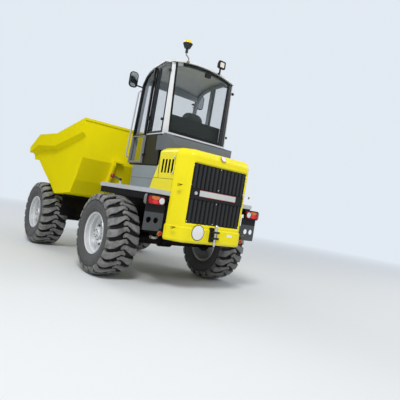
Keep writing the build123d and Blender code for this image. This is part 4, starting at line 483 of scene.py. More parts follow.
def rim_colours(tree, place):
    """Silver paint with uneven brown spots."""
    spots = ramp(tree, cloud(tree, place, 16.0, 8.0, 0.7), 0.56, 0.72)
    return mixed(tree, maths(tree, "MULTIPLY", spots, 0.25), (0.70, 0.71, 0.72), (0.24, 0.20, 0.15))


rim_silver = coated("rim_silver", rim_colours, 0.36, dust=0.08, dust_top=0.9, dust_foot=0.2, metal=0.40,
                    depth=0.0002)
dress(rim_silver, "rim_rear_left", "rim_rear_right", "rim_front_left", "rim_front_right")
rusty_steel = coated("rusty_steel", (0.085, 0.060, 0.042), 0.7, dust=0.1, metal=0.1, grain=300.0,
                     depth=0.0008)


def hex_head(name, radius, height, material, segments=6):
    """A bolt head or nut with a turned-down top, standing up from its seat."""
    verts = []
    for up, wide in ((0.0, radius), (height * 0.8, radius), (height, radius * 0.78)):
        for k in range(segments):
            angle = 2 * math.pi * k / segments
            verts.append((wide * math.cos(angle), wide * math.sin(angle), up))
    return new_piece(name, verts, ring_faces(0, 3, segments), material)


def round_axle(axle_x, side, out, radius, count, first=0.0):
    """Places round a wheel's axis, and the turns that stand a nut or bolt outwards there."""
    places = []
    for i in range(count):
        angle = 2 * math.pi * (i + first) / count
        along, up = radius * math.sin(angle), radius * math.cos(angle)
        places.append((axle_x + along, side * (TRACK + out), AXLE_Z + up))
    return places, [(-side * math.pi / 2, 0.0, 0.0)] * count


for name, axle_x, side in WHEELS:
    places, turns = round_axle(axle_x, side, NUT_SEAT, NUT_CIRCLE, NUTS, 0.5)
    nut = hex_head("nut", NUT_RADIUS, NUT_HEIGHT, rusty_steel)
    nuts = set_out(f"wheel_nuts_{name}", nut, places, turns, rusty_steel)
    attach(nuts, f"wheel_{name}")

# Hubs: a turned silver cover over each spindle's end, held by six small bolts gone brown with rust.
HUB_FACE, HUB_BOLT_SEAT, HUB_BOLT_CIRCLE, HUB_BOLTS = 0.160, 0.009, 0.050, 6
HUB_BOLT_RADIUS, HUB_BOLT_HEIGHT = 0.010, 0.008
HUB_COVER = (
    (0.000, 0.0), (0.000, 0.068), (0.004, 0.070), (0.009, 0.068), (0.010, 0.038), (0.014, 0.034),
    (0.015, 0.0),
)
for name, axle_x, side in WHEELS:
    hub_y = side * (TRACK + HUB_FACE)
    section = [(side * offset, radius) for offset, radius in HUB_COVER]
    cover = new_piece(f"hub_cover_{name}", *turned_shape(section, (axle_x, hub_y, AXLE_Z), 40), rim_silver)
    places, turns = round_axle(axle_x, side, HUB_FACE + HUB_BOLT_SEAT, HUB_BOLT_CIRCLE, HUB_BOLTS)
    bolt = hex_head("bolt", HUB_BOLT_RADIUS, HUB_BOLT_HEIGHT, rusty_steel)
    joined(cover, set_out(f"hub_bolts_{name}", bolt, places, turns, rusty_steel))
    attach(cover, f"wheel_{name}")

# Hood: a moulded cap and side skins in gloss yellow through the moulding, painted black inside as shade.
# The cap shuts against the skins with a thin seam painted black as its shadow gap, and it turns on two
# bright hinge barrels a side.
HOOD_SKIN, HOOD_MIDDLE = 0.652, (-1.6, 0.0, 1.4)
SEAM_TOP, SEAM_FOOT, SKIN_REAR = (-1.758, 1.876), (-1.797, 1.503), -2.170
LOUVRE_Z, GROOVE_Z = (1.570, 1.780), (1.496, 1.504)
LINE_BLEND = 0.0006


def within(tree, value, low, high):
    """1 between two values, 0 outside them."""
    rise = ramp(tree, value, low - LINE_BLEND, low + LINE_BLEND)
    return maths(tree, "MULTIPLY", rise, ramp(tree, value, high + LINE_BLEND, high - LINE_BLEND))


def outward(tree, place):
    """A place's distance from the machine's middle plane."""
    return maths(tree, "ABSOLUTE", coordinate(tree, place, "Y"))


def hood_colours(tree, place):
    """Yellow outside, with painted shade in black: along the seam's gap, in the groove and louvres, and
    inside.
    """
    x, z, out = coordinate(tree, place, "X"), coordinate(tree, place, "Z"), outward(tree, place)
    # The seam: a thin band painted black on the skin along the cap's edge, as the shadow in the gap.
    slope = (SEAM_TOP[0] - SEAM_FOOT[0]) / (SEAM_TOP[1] - SEAM_FOOT[1])
    above_foot = maths(tree, "SUBTRACT", z, SEAM_FOOT[1])
    line = maths(tree, "ADD", maths(tree, "MULTIPLY", above_foot, slope), SEAM_FOOT[0])
    off_line = maths(tree, "ABSOLUTE", maths(tree, "SUBTRACT", x, line))
    on_skin = ramp(tree, out, HOOD_SKIN - 0.03, HOOD_SKIN - 0.02)
    seam_height = within(tree, z, SEAM_FOOT[1], SEAM_TOP[1])
    seam = maths(tree, "MULTIPLY", ramp(tree, off_line, 0.007, 0.005), seam_height, on_skin)
    # The louvres' slots and the groove: their sunk inner faces are painted black as shade.
    pressed_in = ramp(tree, out, HOOD_SKIN - 0.0012, HOOD_SKIN - 0.0018)
    before_cap = ramp(tree, x, SKIN_REAR - 0.001, SKIN_REAR + 0.001)
    pressed_height = maths(tree, "MAXIMUM", within(tree, z, *LOUVRE_Z), within(tree, z, *GROOVE_Z))
    edges = maths(tree, "MULTIPLY", pressed_height, pressed_in, before_cap)
    # Faces that look into the hood are painted black as the shade inside it.
    dark = maths(tree, "MAXIMUM", faces_middle(tree, place, HOOD_MIDDLE), edges, seam)
    return mixed(tree, dark, YELLOW, (0.006, 0.006, 0.006))


hood_yellow = coated("hood_yellow", hood_colours, 0.26, dust=0.03, dust_top=1.2, dust_foot=0.7, gloss=0.22,
                     specular=0.2, tone=0.01)
dress(hood_yellow, "hood_cap", "hood_body")
bright_zinc = coated("bright_zinc", (0.66, 0.66, 0.64), 0.28, dust=0.1, metal=0.85, grain=500.0, depth=0.0002)

HINGES, HINGE_RADIUS, HINGE_HEIGHT = ((-2.150, 1.793), (-2.153, 1.586)), 0.017, 0.016
places = [(x, side * HOOD_SKIN, z) for x, z in HINGES for side in (1, -1)]
turns = [(-side * math.pi / 2, 0.0, 0.0) for _ in HINGES for side in (1, -1)]
barrel = hex_head("barrel", HINGE_RADIUS, HINGE_HEIGHT, bright_zinc, segments=16)
hood_hinges = set_out("hood_hinges", barrel, places, turns, bright_zinc)
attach(hood_hinges, "rear_frame")

# Small round bosses pressed through the skin above and below the louvres
BOSS = ((0.0, 0.0), (0.0, 0.0085), (0.0022, 0.0075), (0.0042, 0.0045), (0.0048, 0.0))
BOSS_SUNK, BOSSES = 0.0008, 5
# Each row's first boss, the step to the next one, and its height
BOSS_ROWS = ((-1.790, 0.060, 1.865), (-1.800, 0.075, 1.544))
places, turns = [], []
for side in (1, -1):
    for first, step, height in BOSS_ROWS:
        places += [(first - step * i, side * (HOOD_SKIN - BOSS_SUNK), height) for i in range(BOSSES)]
        turns += [(-side * math.pi / 2, 0.0, 0.0)] * BOSSES
boss = new_piece("boss", *turned_shape(BOSS, (0, 0, 0), 14, "z"), hood_yellow)
hood_bosses = set_out("hood_bosses", boss, places, turns, hood_yellow)
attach(hood_bosses, "rear_frame")

# Cap's latch pockets: on each rounded corner two thin wedges painted as the pockets' shade, each with a
# yellow bolt.
CORNER, CORNER_RADIUS = (-2.286, 0.535), 0.120
POCKETS = (1.435, 0.869)
# A wedge's outline, in degrees round the corner and upwards from the pocket's middle
WEDGE = ((10, 0.017), (10, -0.016), (26, -0.013), (38, 0.001), (48, 0.014), (38, 0.017), (24, 0.018))
WEDGE_MIDDLE, WEDGE_RINGS = 26, ((0.0001, 1.0), (0.0012, 1.0), (0.0006, 0.8))
BOLT_AT, BOLT_RADIUS, BOLT_HEIGHT = 20, 0.013, 0.011


def on_corner(side, degrees, up, proud):
    """A point over the cap's upright rounded corner."""
    angle = math.radians(degrees)
    reach = CORNER_RADIUS + proud
    return (CORNER[0] - reach * math.sin(angle), side * (CORNER[1] + reach * math.cos(angle)), up)


verts, faces, places, turns = [], [], [], []
for side in (1, -1):
    for height in POCKETS:
        faces += ring_faces(len(verts), len(WEDGE_RINGS), len(WEDGE))
        for proud, shrink in WEDGE_RINGS:
            for degrees, up in WEDGE:
                round_corner = WEDGE_MIDDLE + (degrees - WEDGE_MIDDLE) * shrink
                verts.append(on_corner(side, round_corner, height + up * shrink, proud))
        places.append(on_corner(side, BOLT_AT, height, 0.0))
        turns.append((0.0, -math.pi / 2, -side * math.radians(90 - BOLT_AT)))
# The wedges' dark yellow is painted shade standing in for the pockets' hollows.
shaded_yellow = coated("shaded_yellow", (0.19, 0.14, 0.004), 0.45, dust=0.1)
latch_pockets = new_piece("latch_pockets", verts, faces, shaded_yellow)
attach(latch_pockets, "rear_frame")
plain_yellow = coated("plain_yellow", (0.62, 0.46, 0.01), 0.35, dust=0.1)
bolt = hex_head("bolt", BOLT_RADIUS, BOLT_HEIGHT, plain_yellow)
latch_bolts = set_out("latch_bolts", bolt, places, turns, plain_yellow)
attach(latch_bolts, "rear_frame")

# Plates on the cap: a domed round badge on its top slope, a round sign and a small label on the
# bumper. All three are left blank.
CAP_REAR = -2.406
SLOPE, SLOPE_RADIUS = (-2.296, 1.838), 0.110
BADGE_TILT, BADGE_RADIUS, BADGE_Y = math.radians(33), 0.046, 0.012
# Each ring's share of the badge's radius and its height over the slope
BADGE_RINGS = ((0.4, 0.0044), (0.8, 0.0038), (0.94, 0.0030), (1.0, 0.0012), (1.0, -0.001))
BADGE_DOME, BADGE_POINTS = 0.0045, 36
SIGN_PLACE, SIGN_RADIUS = (CAP_REAR, 0.268, 0.843), 0.108
SIGN = (
    (0.001, 0.0), (0.001, 0.106), (-0.001, SIGN_RADIUS), (-0.003, 0.107), (-0.0034, 0.102), (-0.0030, 0.0),
)
LABEL_X, LABEL_Y, LABEL_Z = (CAP_REAR + 0.001, CAP_REAR - 0.0015), (-0.252, -0.362), (0.824, 0.862)
LABEL_CORNER, PLATE_BEVEL = 0.004, 0.0012


def on_slope(share, angle, proud):
    """A point over the cap's rounded top slope, round the badge's middle."""
    tilt = BADGE_TILT + share * BADGE_RADIUS * math.sin(angle) / SLOPE_RADIUS
    reach, y = SLOPE_RADIUS + proud, BADGE_Y + share * BADGE_RADIUS * math.cos(angle)
    return (SLOPE[0] - reach * math.cos(tilt), y, SLOPE[1] + reach * math.sin(tilt))


def plate_colours(tree, place):
    """White plates, the sign's rim black and the badge's grey."""
    from_sign = add_node(tree, "ShaderNodeVectorMath", {0: place, 1: SIGN_PLACE}, operation="DISTANCE")
    rim = within(tree, from_sign.outputs["Value"], SIGN_RADIUS - 0.010, SIGN_RADIUS + 0.01)
    plain = mixed(tree, rim, (0.84, 0.84, 0.83), (0.02, 0.02, 0.02))
    badge_place = on_slope(0.0, 0.0, 0.0)
    from_badge = add_node(tree, "ShaderNodeVectorMath", {0: place, 1: badge_place}, operation="DISTANCE")
    badge_rim = within(tree, from_badge.outputs["Value"], BADGE_RADIUS - 0.008, BADGE_RADIUS + 0.02)
    return mixed(tree, badge_rim, plain, (0.16, 0.17, 0.18))


plate_white = coated("plate_white", plate_colours, 0.30, dust=0.15, gloss=0.2)
verts = [on_slope(0.0, 0.0, BADGE_DOME)]
for share, proud in BADGE_RINGS:
    verts += [on_slope(share, 2 * math.pi * k / BADGE_POINTS, proud) for k in range(BADGE_POINTS)]
faces = [(0, 1 + k, 1 + (k + 1) % BADGE_POINTS) for k in range(BADGE_POINTS)]
faces += ring_faces(1, len(BADGE_RINGS), BADGE_POINTS, first=False)
badge = new_piece("blank_badge", verts, faces, plate_white)
sign = new_piece("blank_sign", *turned_shape(SIGN, SIGN_PLACE, 64, "x"), plate_white)


def folded_plate(name, x, x_out, y, z, corner, material, bend=4):
    """A small flat plate seen from behind, with rounded corners and a bevelled rim."""
    rings = []
    for at_x, inset in ((x, 0.0), (x + (x_out - x) * 0.6, 0.0), (x_out, PLATE_BEVEL)):
        ring = []
        for cy, cz, start in ((y[1], z[1], 0), (y[0], z[1], 90), (y[0], z[0], 180), (y[1], z[0], 270)):
            middle_y = cy - math.copysign(corner, cy - (y[0] + y[1]) / 2)
            middle_z = cz - math.copysign(corner, cz - (z[0] + z[1]) / 2)
            for i in range(bend + 1):
                angle = math.radians(start + 90 * i / bend)
                reach = corner - inset
                ring.append((at_x, middle_y + reach * math.cos(angle), middle_z + reach * math.sin(angle)))
        rings.append(ring)
    faces = ring_faces(0, len(rings), len(rings[0]))
    return new_piece(name, [v for ring in rings for v in ring], faces, material)


label = folded_plate("blank_label", *LABEL_X, LABEL_Y, LABEL_Z, LABEL_CORNER, plate_white)
for piece in (badge, sign, label):
    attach(piece, "rear_frame")

# Grille: two pressed sheets with broad upright corrugations, in matt black, held by bright round-head
# screws. The band between them is a black bar with a blank bright plate and a chromed lock.
SCREWS = (
    (0.487, 1.726), (0.010, 1.745), (-0.465, 1.723), (0.487, 1.471), (0.008, 1.452), (-0.469, 1.460),
    (0.005, 1.262), (0.472, 0.982), (0.018, 0.975), (-0.462, 0.981),
)
SCREW_SEAT = -2.3795
PLATE_X, PLATE_Y, PLATE_Z, PLATE_LINE = -2.388, (-0.326, 0.332), (1.328, 1.417), 0.007
LOCK, LOCK_RADIUS = (-2.394, 0.396, 1.3665), 0.025
VALLEY_X, RIDGE_X = -2.3665, -2.3805


def grille_colours(tree, place):
    """Grey-black ridges over valleys painted black as shade."""
    # The corrugations' valleys are painted darker than the ridges, as shade.
    ridge = ramp(tree, coordinate(tree, place, "X"), VALLEY_X, RIDGE_X)
    return mixed(tree, ridge, (0.002, 0.002, 0.002), (0.026, 0.028, 0.030))


grille_black = coated("grille_black", grille_colours, 0.40, dust=0.02, dust_top=1.2, dust_foot=0.9)
dress(grille_black, "grille")
SCREW = ((0.0, 0.0), (0.0, 0.0085), (0.0030, 0.0080), (0.0055, 0.0050), (0.0062, 0.0))
head = new_piece("screw", *turned_shape(SCREW, (0, 0, 0), 14, "z"), bright_zinc)
places = [(SCREW_SEAT, y, z) for y, z in SCREWS]
grille_screws = set_out("grille_screws", head, places, [(0.0, -math.pi / 2, 0.0)] * len(SCREWS), bright_zinc)
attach(grille_screws, "rear_frame")


def on_plate(tree, place):
    """1 on the band's raised plate."""
    raised = ramp(tree, coordinate(tree, place, "X"), PLATE_X + 0.0005, PLATE_X - 0.0005)
    across_plate = within(tree, coordinate(tree, place, "Y"), *PLATE_Y)
    return maths(tree, "MULTIPLY", across_plate, within(tree, coordinate(tree, place, "Z"), *PLATE_Z), raised)


def on_lock(tree, place):
    """1 on the lock's knob."""
    away = add_node(tree, "ShaderNodeVectorMath", {0: place, 1: LOCK}, operation="DISTANCE")
    return ramp(tree, away.outputs["Value"], LOCK_RADIUS + 0.001, LOCK_RADIUS - 0.001)


def band_colours(tree, place):
    """Black bar, pale plate between two thin red lines, bright lock."""
    z = coordinate(tree, place, "Z")
    low_line = within(tree, z, PLATE_Z[0], PLATE_Z[0] + PLATE_LINE)
    lines = maths(tree, "ADD", low_line, within(tree, z, PLATE_Z[1] - PLATE_LINE, PLATE_Z[1]))
    plate = mixed(tree, lines, (0.58, 0.61, 0.59), (0.42, 0.02, 0.03))
    plain = mixed(tree, on_plate(tree, place), (0.012, 0.012, 0.013), plate)
    return mixed(tree, on_lock(tree, place), plain, (0.70, 0.70, 0.70))


grille_bar = coated("grille_bar", band_colours, 0.38, dust=0.03, dust_top=1.2, dust_foot=0.9)
tree = grille_bar.node_tree
place = add_node(tree, "ShaderNodeTexCoord").outputs["Object"]
tree.links.new(on_lock(tree, place), tree.nodes["Principled BSDF"].inputs["Metallic"])
dress(grille_bar, "grille_band")

# Engine: one plain block on the rear beams, iron grey under oily dust.
engine_iron = coated("engine_iron", (0.04, 0.044, 0.048), 0.6, dust=0.3, dust_top=1.6, dust_foot=0.7)
dress(engine_iron, "engine_block")

# Platforms: rolled aluminium tread plate with raised bars laid alternately, over a folded bright edge,
# with black moulded wings below them.
DECK_CELL = 24.0
deck_plate, tree, shader = new_material("deck_plate")
place = add_node(tree, "ShaderNodeTexCoord").outputs["Object"]
skewed = {"Vector": place, "Rotation": (0, 0, math.radians(45)), "Scale": (DECK_CELL,) * 3}
turned = add_node(tree, "ShaderNodeMapping", skewed).outputs[0]
cells = []
for name in ("X", "Y"):
    axis = coordinate(tree, turned, name)
    part = maths(tree, "SUBTRACT", maths(tree, "FRACT", axis), 0.5)
    cells.append((maths(tree, "ABSOLUTE", part), maths(tree, "FLOOR", axis)))
odd = maths(tree, "FLOORED_MODULO", maths(tree, "ADD", cells[0][1], cells[1][1]), 2.0)
along = add_node(tree, "ShaderNodeMix", {"Factor": odd, 2: cells[0][0], 3: cells[1][0]}).outputs[0]
thwart = add_node(tree, "ShaderNodeMix", {"Factor": odd, 2: cells[1][0], 3: cells[0][0]}).outputs[0]
span = maths(tree, "ADD", maths(tree, "MULTIPLY", along, 0.30), thwart)
bars = {"Height": ramp(tree, span, 0.17, 0.12), "Strength": 0.9, "Distance": 0.002}
bump = add_node(tree, "ShaderNodeBump", bars)
tree.links.new(bump.outputs[0], shader.inputs["Normal"])
grime = ramp(tree, cloud(tree, place, 5.0, 9.0, 0.7), 0.45, 0.72, 0.0, 0.25)
tree.links.new(mixed(tree, grime, (0.56, 0.58, 0.60), (0.32, 0.29, 0.25)), shader.inputs["Base Color"])
shader.inputs["Metallic"].default_value = 0.3
shader.inputs["Roughness"].default_value = 0.36
dress(deck_plate, "platforms")

# Steps: two grey moulded tiers beside the cab's base, with a fine leather-like grain.
step_plastic = coated("step_plastic", (0.26, 0.30, 0.315), 0.45, dust=0.1, dust_top=1.7, dust_foot=1.3,
                      grain=420.0, depth=0.0006)
dress(step_plastic, "step_blocks")

# Tail lamps: black moulded housings with a grey cushioned outer end. Each has one lens moulded in red,
# with an amber eye at the top and a clear round reversing lamp at its inner end.
LAMP_OUTER, VENT_TOP, VENT_GREY = 1.022, 1.118, 1.030
AMBER_EYE, WHITE_EYE, BRIGHT_RED = (0.902, 1.222), (0.803, 1.187), (0.900, 1.165)
EYE_BLEND = 0.08


def eye(tree, out, z, centre, wide, high):
    """1 inside an ellipse on the lens."""
    side = maths(tree, "DIVIDE", maths(tree, "SUBTRACT", out, centre[0]), wide)
    up = maths(tree, "DIVIDE", maths(tree, "SUBTRACT", z, centre[1]), high)
    reach = maths(tree, "ADD", maths(tree, "MULTIPLY", side, side), maths(tree, "MULTIPLY", up, up))
    return ramp(tree, reach, 1 + EYE_BLEND, 1 - EYE_BLEND)


def housing_colours(tree, place):
    """Black housing, its outer end and the lower half of the vent plate grey."""
    z, out = coordinate(tree, place, "Z"), outward(tree, place)
    outer_end = ramp(tree, out, LAMP_OUTER, LAMP_OUTER + 0.001)
    outer = maths(tree, "MULTIPLY", outer_end, ramp(tree, z, VENT_TOP - 0.018, VENT_TOP + 0.002))
    plain = mixed(tree, outer, (0.012, 0.012, 0.012), (0.20, 0.20, 0.20))
    upper = mixed(tree, ramp(tree, z, VENT_TOP, VENT_TOP - 0.001), plain, (0.008, 0.008, 0.009))
    return mixed(tree, ramp(tree, z, VENT_GREY, VENT_GREY - 0.002), upper, (0.070, 0.075, 0.080))


def lens_colours(tree, place):
    """Red lens with a painted glow in brighter red, an amber eye, and a white eye with a dark wall round it.
    """
    z, out = coordinate(tree, place, "Z"), outward(tree, place)
    facets = add_node(tree, "ShaderNodeTexVoronoi", {"Vector": place, "Scale": 90.0}).outputs["Distance"]
    red = mixed(tree, facets, (0.55, 0.006, 0.008), (0.26, 0.003, 0.005))
    # A brighter red oval on the lens is painted light: a glow in the base colour, with no light given off.
    glow = mixed(tree, eye(tree, out, z, BRIGHT_RED, 0.042, 0.026), red, (0.80, 0.02, 0.02))
    with_amber = mixed(tree, eye(tree, out, z, AMBER_EYE, 0.060, 0.030), glow, (0.62, 0.16, 0.02))
    wall = mixed(tree, eye(tree, out, z, WHITE_EYE, 0.047, 0.047), with_amber, (0.05, 0.01, 0.01))
    return mixed(tree, eye(tree, out, z, WHITE_EYE, 0.041, 0.041), wall, (0.72, 0.73, 0.74))


lamp_housing = coated("lamp_housing", housing_colours, 0.35, dust=0.06, dust_top=1.1, dust_foot=0.8)
dress(lamp_housing, "lamp_brackets")
lamp_lens = coated("lamp_lens", lens_colours, 0.12, dust=0.05, gloss=0.8, grain=110.0, depth=0.0012)
dress(lamp_lens, "tail_lamps")

# Reflectors: a round red prism disc in a yellow rim, riveted to a small tab under each vent plate.
REFLECTOR, PRISM_RADIUS = (-2.197, 0.737, 0.760), 0.028
DISC = (
    (0.002, 0.0), (0.002, 0.030), (-0.004, 0.031), (-0.007, 0.030), (-0.008, 0.026), (-0.0065, 0.025),
    (-0.006, 0.0),
)
TAB_X, TAB_HALF, TAB_Z, TAB_CORNER = (-2.1915, -2.1955), 0.017, (0.735, 0.830), 0.006


def reflector_colours(tree, place):
    """Red disc, yellow rim."""
    z, out = coordinate(tree, place, "Z"), outward(tree, place)
    facets = add_node(tree, "ShaderNodeTexVoronoi", {"Vector": place, "Scale": 220.0}).outputs["Distance"]
    red = mixed(tree, facets, (0.62, 0.006, 0.008), (0.30, 0.004, 0.005))
    inner = eye(tree, out, z, REFLECTOR[1:], PRISM_RADIUS, PRISM_RADIUS)
    return mixed(tree, inner, (0.75, 0.42, 0.02), red)


reflector_red = coated("reflector_red", reflector_colours, 0.15, dust=0.05, gloss=0.6)
tabs, discs = [], []
for side, word in ((1, "left"), (-1, "right")):
    centre = (REFLECTOR[0], side * REFLECTOR[1], REFLECTOR[2])
    span_y = sorted((side * (REFLECTOR[1] - TAB_HALF), side * (REFLECTOR[1] + TAB_HALF)))
    tabs.append(folded_plate(f"tab_{word}", *TAB_X, span_y, TAB_Z, TAB_CORNER, dark_rubber))
    discs.append(new_piece(f"disc_{word}", *turned_shape(DISC, centre, 40, "x"), reflector_red))
reflector_tabs = joined(*tabs)
reflectors = joined(*discs)
reflector_tabs.name, reflectors.name = "reflector_tabs", "reflectors"
for piece, slot in ((reflector_tabs, "frame_black"), (reflectors, "lamp_red")):
    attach(piece, "rear_frame")

# Tail pipe: a bent steel tube that leaves the engine's side over the wing bracket and ends behind the
# left wheel, cut square.
PIPE_ROUTE = (
    (-1.950, 0.560, 0.842), (-2.030, 0.640, 0.780), (-2.100, 0.700, 0.700), (-2.160, 0.780, 0.690),
    (-2.205, 0.868, 0.708),
)
PIPE_RADIUS, PIPE_WALL = 0.017, 0.002
curve = bpy.data.curves.new("tail_pipe", "CURVE")
curve.dimensions = "3D"
curve.bevel_depth = PIPE_RADIUS
curve.bevel_resolution = 6
curve.resolution_u = 10
spline = curve.splines.new("NURBS")
spline.points.add(len(PIPE_ROUTE) - 1)
for point, at in zip(spline.points, PIPE_ROUTE):
    point.co = (*at, 1.0)
spline.order_u = 3
spline.use_endpoint_u = True
drawn_pipe = bpy.data.objects.new("drawn_pipe", curve)
bpy.context.collection.objects.link(drawn_pipe)
bpy.context.view_layer.update()
mesh = bpy.data.meshes.new_from_object(drawn_pipe.evaluated_get(bpy.context.evaluated_depsgraph_get()))
bpy.data.objects.remove(drawn_pipe)
tail_pipe = bpy.data.objects.new("tail_pipe", mesh)
bpy.context.collection.objects.link(tail_pipe)
wall = tail_pipe.modifiers.new("wall", "SOLIDIFY")
wall.thickness = PIPE_WALL
bpy.context.view_layer.objects.active = tail_pipe
bpy.ops.object.modifier_apply(modifier="wall")
tail_pipe.data.materials.clear()
tail_pipe.data.materials.append(bright_zinc)
tail_pipe.data.shade_smooth()
tail_pipe.data.set_sharp_from_angle(angle=math.radians(40))
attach(tail_pipe, "rear_frame")

# Tow hitch: a black forged jaw on the rear beams' cross plate. Its bright drop pin ends in a ball knob.
PIN_TOP, KNOB_RADIUS, KNOB_MIDDLE, NECK_RADIUS = (-2.458, 0.0, 0.934), 0.026, 0.022, 0.012
dress(coated("jaw_black", (0.010, 0.010, 0.011), 0.4, dust=0.08, specular=0.3), "tow_hitch")
ball = [(0.0, 0.0), (0.0, NECK_RADIUS)]
for angle in (math.radians(degrees) for degrees in range(30, 180, 15)):
    ball.append((KNOB_MIDDLE - KNOB_RADIUS * math.cos(angle), KNOB_RADIUS * math.sin(angle)))
ball.append((KNOB_MIDDLE + KNOB_RADIUS, 0.0))
knob = new_piece("pin_knob", *turned_shape(ball, PIN_TOP, 28, "z"), bright_zinc)
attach(knob, "rear_frame")

# Cab: a welded tube frame with flat panes glued over it, grey inside and black where they cover it.
# The left rear post, the right one's outer side and the bar under the rear pane are white.
POST_INNER_X, CAB_MIDDLE, DOOR_LINE = -1.585, (-1.2, 0.0, 2.6), 2.140
# The rear posts' inner sides, the cab's right side, the white post's foot and the white bar's height
POST_INNER_Y, RIGHT_SIDE_Y, POST_FOOT, WHITE_BAR_Z = 0.400, -0.588, 2.150, (2.168, 2.2004)


def faces_right(tree):
    """1 on surfaces that look to the machine's right."""
    normal = add_node(tree, "ShaderNodeTexCoord").outputs["Normal"]
    return ramp(tree, coordinate(tree, normal, "Y"), -0.6, -0.7)


def frame_colours(tree, place):
    """Black outside and grey inside, with the white post, side and bar."""
    y, z = coordinate(tree, place, "Y"), coordinate(tree, place, "Z")
    rear = ramp(tree, coordinate(tree, place, "X"), POST_INNER_X + 0.001, POST_INNER_X)
    left_post = ramp(tree, y, POST_INNER_Y, POST_INNER_Y + 0.001)
    post = maths(tree, "MULTIPLY", left_post, ramp(tree, z, POST_FOOT, POST_FOOT + 0.001))
    bar = within(tree, z, *WHITE_BAR_Z)
    right_post = ramp(tree, y, -POST_INNER_Y, -POST_INNER_Y - 0.001)
    right_face = maths(tree, "MULTIPLY", right_post, faces_right(tree))
    right_side = maths(tree, "MAXIMUM", ramp(tree, y, RIGHT_SIDE_Y, RIGHT_SIDE_Y - 0.001), right_face)
    shown = maths(tree, "MULTIPLY", rear, maths(tree, "MAXIMUM", post, bar, right_side))
    plain = mixed(tree, faces_middle(tree, place, CAB_MIDDLE), (0.009, 0.009, 0.010), (0.26, 0.29, 0.32))
    return mixed(tree, shown, plain, (0.74, 0.75, 0.76))


cab_paint = coated("cab_paint", frame_colours, 0.30, dust=0.03, gloss=0.08, tone=0.02)
dress(cab_paint, "cab_frame")


def door_colours(tree, place):
    """Black round the upper pane, and grey round the low one."""
    low = ramp(tree, coordinate(tree, place, "Z"), DOOR_LINE, DOOR_LINE - 0.001)
    return mixed(tree, low, (0.009, 0.009, 0.010), (0.22, 0.23, 0.24))


door_paint = coated("door_paint", door_colours, 0.30, dust=0.04, gloss=0.08)
dress(door_paint, "door_frame")
hinge_black = coated("hinge_black", (0.013, 0.013, 0.014), 0.4, dust=0.1)
dress(hinge_black, "door_hinges")

# Roof: a thin moulded shell, white outside and pale grey inside.
ROOF_MIDDLE = (-1.25, 0.0, 2.4)


def roof_colours(tree, place):
    """White outside, pale grey inside."""
    return mixed(tree, faces_middle(tree, place, ROOF_MIDDLE), (0.76, 0.77, 0.78), (0.66, 0.68, 0.69))


roof_shell = coated("roof_shell", roof_colours, 0.30, dust=0.03, dust_top=3.4, dust_foot=3.0, gloss=0.25)
dress(roof_shell, "cab_roof")

# Windows: flat tinted safety glass glued over the frame. The rear and side panes have a black border.
REAR_PANE_FOOT, REAR_PANE_HALF, REAR_PANE_RISE, BORDER = 2.2004, 0.499, 0.036, 0.036
FOOT_BORDER, SIDE_PANE_REAR, SIDE_PANE_FOOT = 0.047, -1.5885, 2.1825


def glazing(name, border=None):
    """Tinted glass whose black border, where it has one, is opaque."""
    made, tree, shader = new_material(name)
    place = add_node(tree, "ShaderNodeTexCoord").outputs["Object"]
    edge = border(tree, place) if border else 0.0
    film = ramp(tree, cloud(tree, place, 6.0), 0.0, 1.0, 0.06, 0.11)
    colour = mixed(tree, edge, (0.06, 0.085, 0.085), (0.006, 0.006, 0.007))
    tree.links.new(colour, shader.inputs["Base Color"])
    tree.links.new(maths(tree, "MAXIMUM", film, edge), shader.inputs["Alpha"])
    shader.inputs["Roughness"].default_value = 0.03
    shader.inputs["Specular IOR Level"].default_value = 0.22
    return made


def rear_border(tree, place):
    """The rear pane's border: both sides and the foot."""
    above_foot = maths(tree, "SUBTRACT", coordinate(tree, place, "Z"), REAR_PANE_FOOT)
    half = maths(tree, "ADD", maths(tree, "MULTIPLY", above_foot, REAR_PANE_RISE), REAR_PANE_HALF)
    from_side = maths(tree, "SUBTRACT", half, outward(tree, place))
    sides = ramp(tree, from_side, BORDER + 0.006, BORDER - 0.004)
    return maths(tree, "MAXIMUM", sides, ramp(tree, above_foot, FOOT_BORDER + 0.003, FOOT_BORDER - 0.003))


def side_border(tree, place):
    """The side panes' border at their rear edge and foot."""
    rear = ramp(tree, coordinate(tree, place, "X"), SIDE_PANE_REAR + 0.0035, SIDE_PANE_REAR - 0.0035)
    foot = ramp(tree, coordinate(tree, place, "Z"), SIDE_PANE_FOOT + 0.0025, SIDE_PANE_FOOT - 0.0025)
    return maths(tree, "MAXIMUM", rear, foot)


dress(glazing("rear_window", rear_border), "rear_glass")
dress(glazing("side_window", side_border), "side_glass")
dress(glazing("front_window"), "windscreen", "door_glass")

# Pane latches: black plastic knobs that hold each side pane's rear edge, one high and one low.
LATCHES = ((-1.600, 0.6045, 3.080), (-1.604, 0.6045, 2.360))
LATCH = (
    (0.0, 0.0), (0.0, 0.022), (0.006, 0.022), (0.008, 0.013), (0.018, 0.012), (0.021, 0.020), (0.030, 0.021),
    (0.034, 0.017), (0.035, 0.0),
)
latch = new_piece("latch", *turned_shape(LATCH, (0, 0, 0), 20, "z"), dark_rubber)
places = [(x, side * out, z) for x, out, z in LATCHES for side in (1, -1)]
turns = [(-side * math.pi / 2, 0.0, 0.0) for _ in LATCHES for side in (1, -1)]
latches = set_out("pane_latches", latch, places, turns, dark_rubber)
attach(latches, "rear_frame")

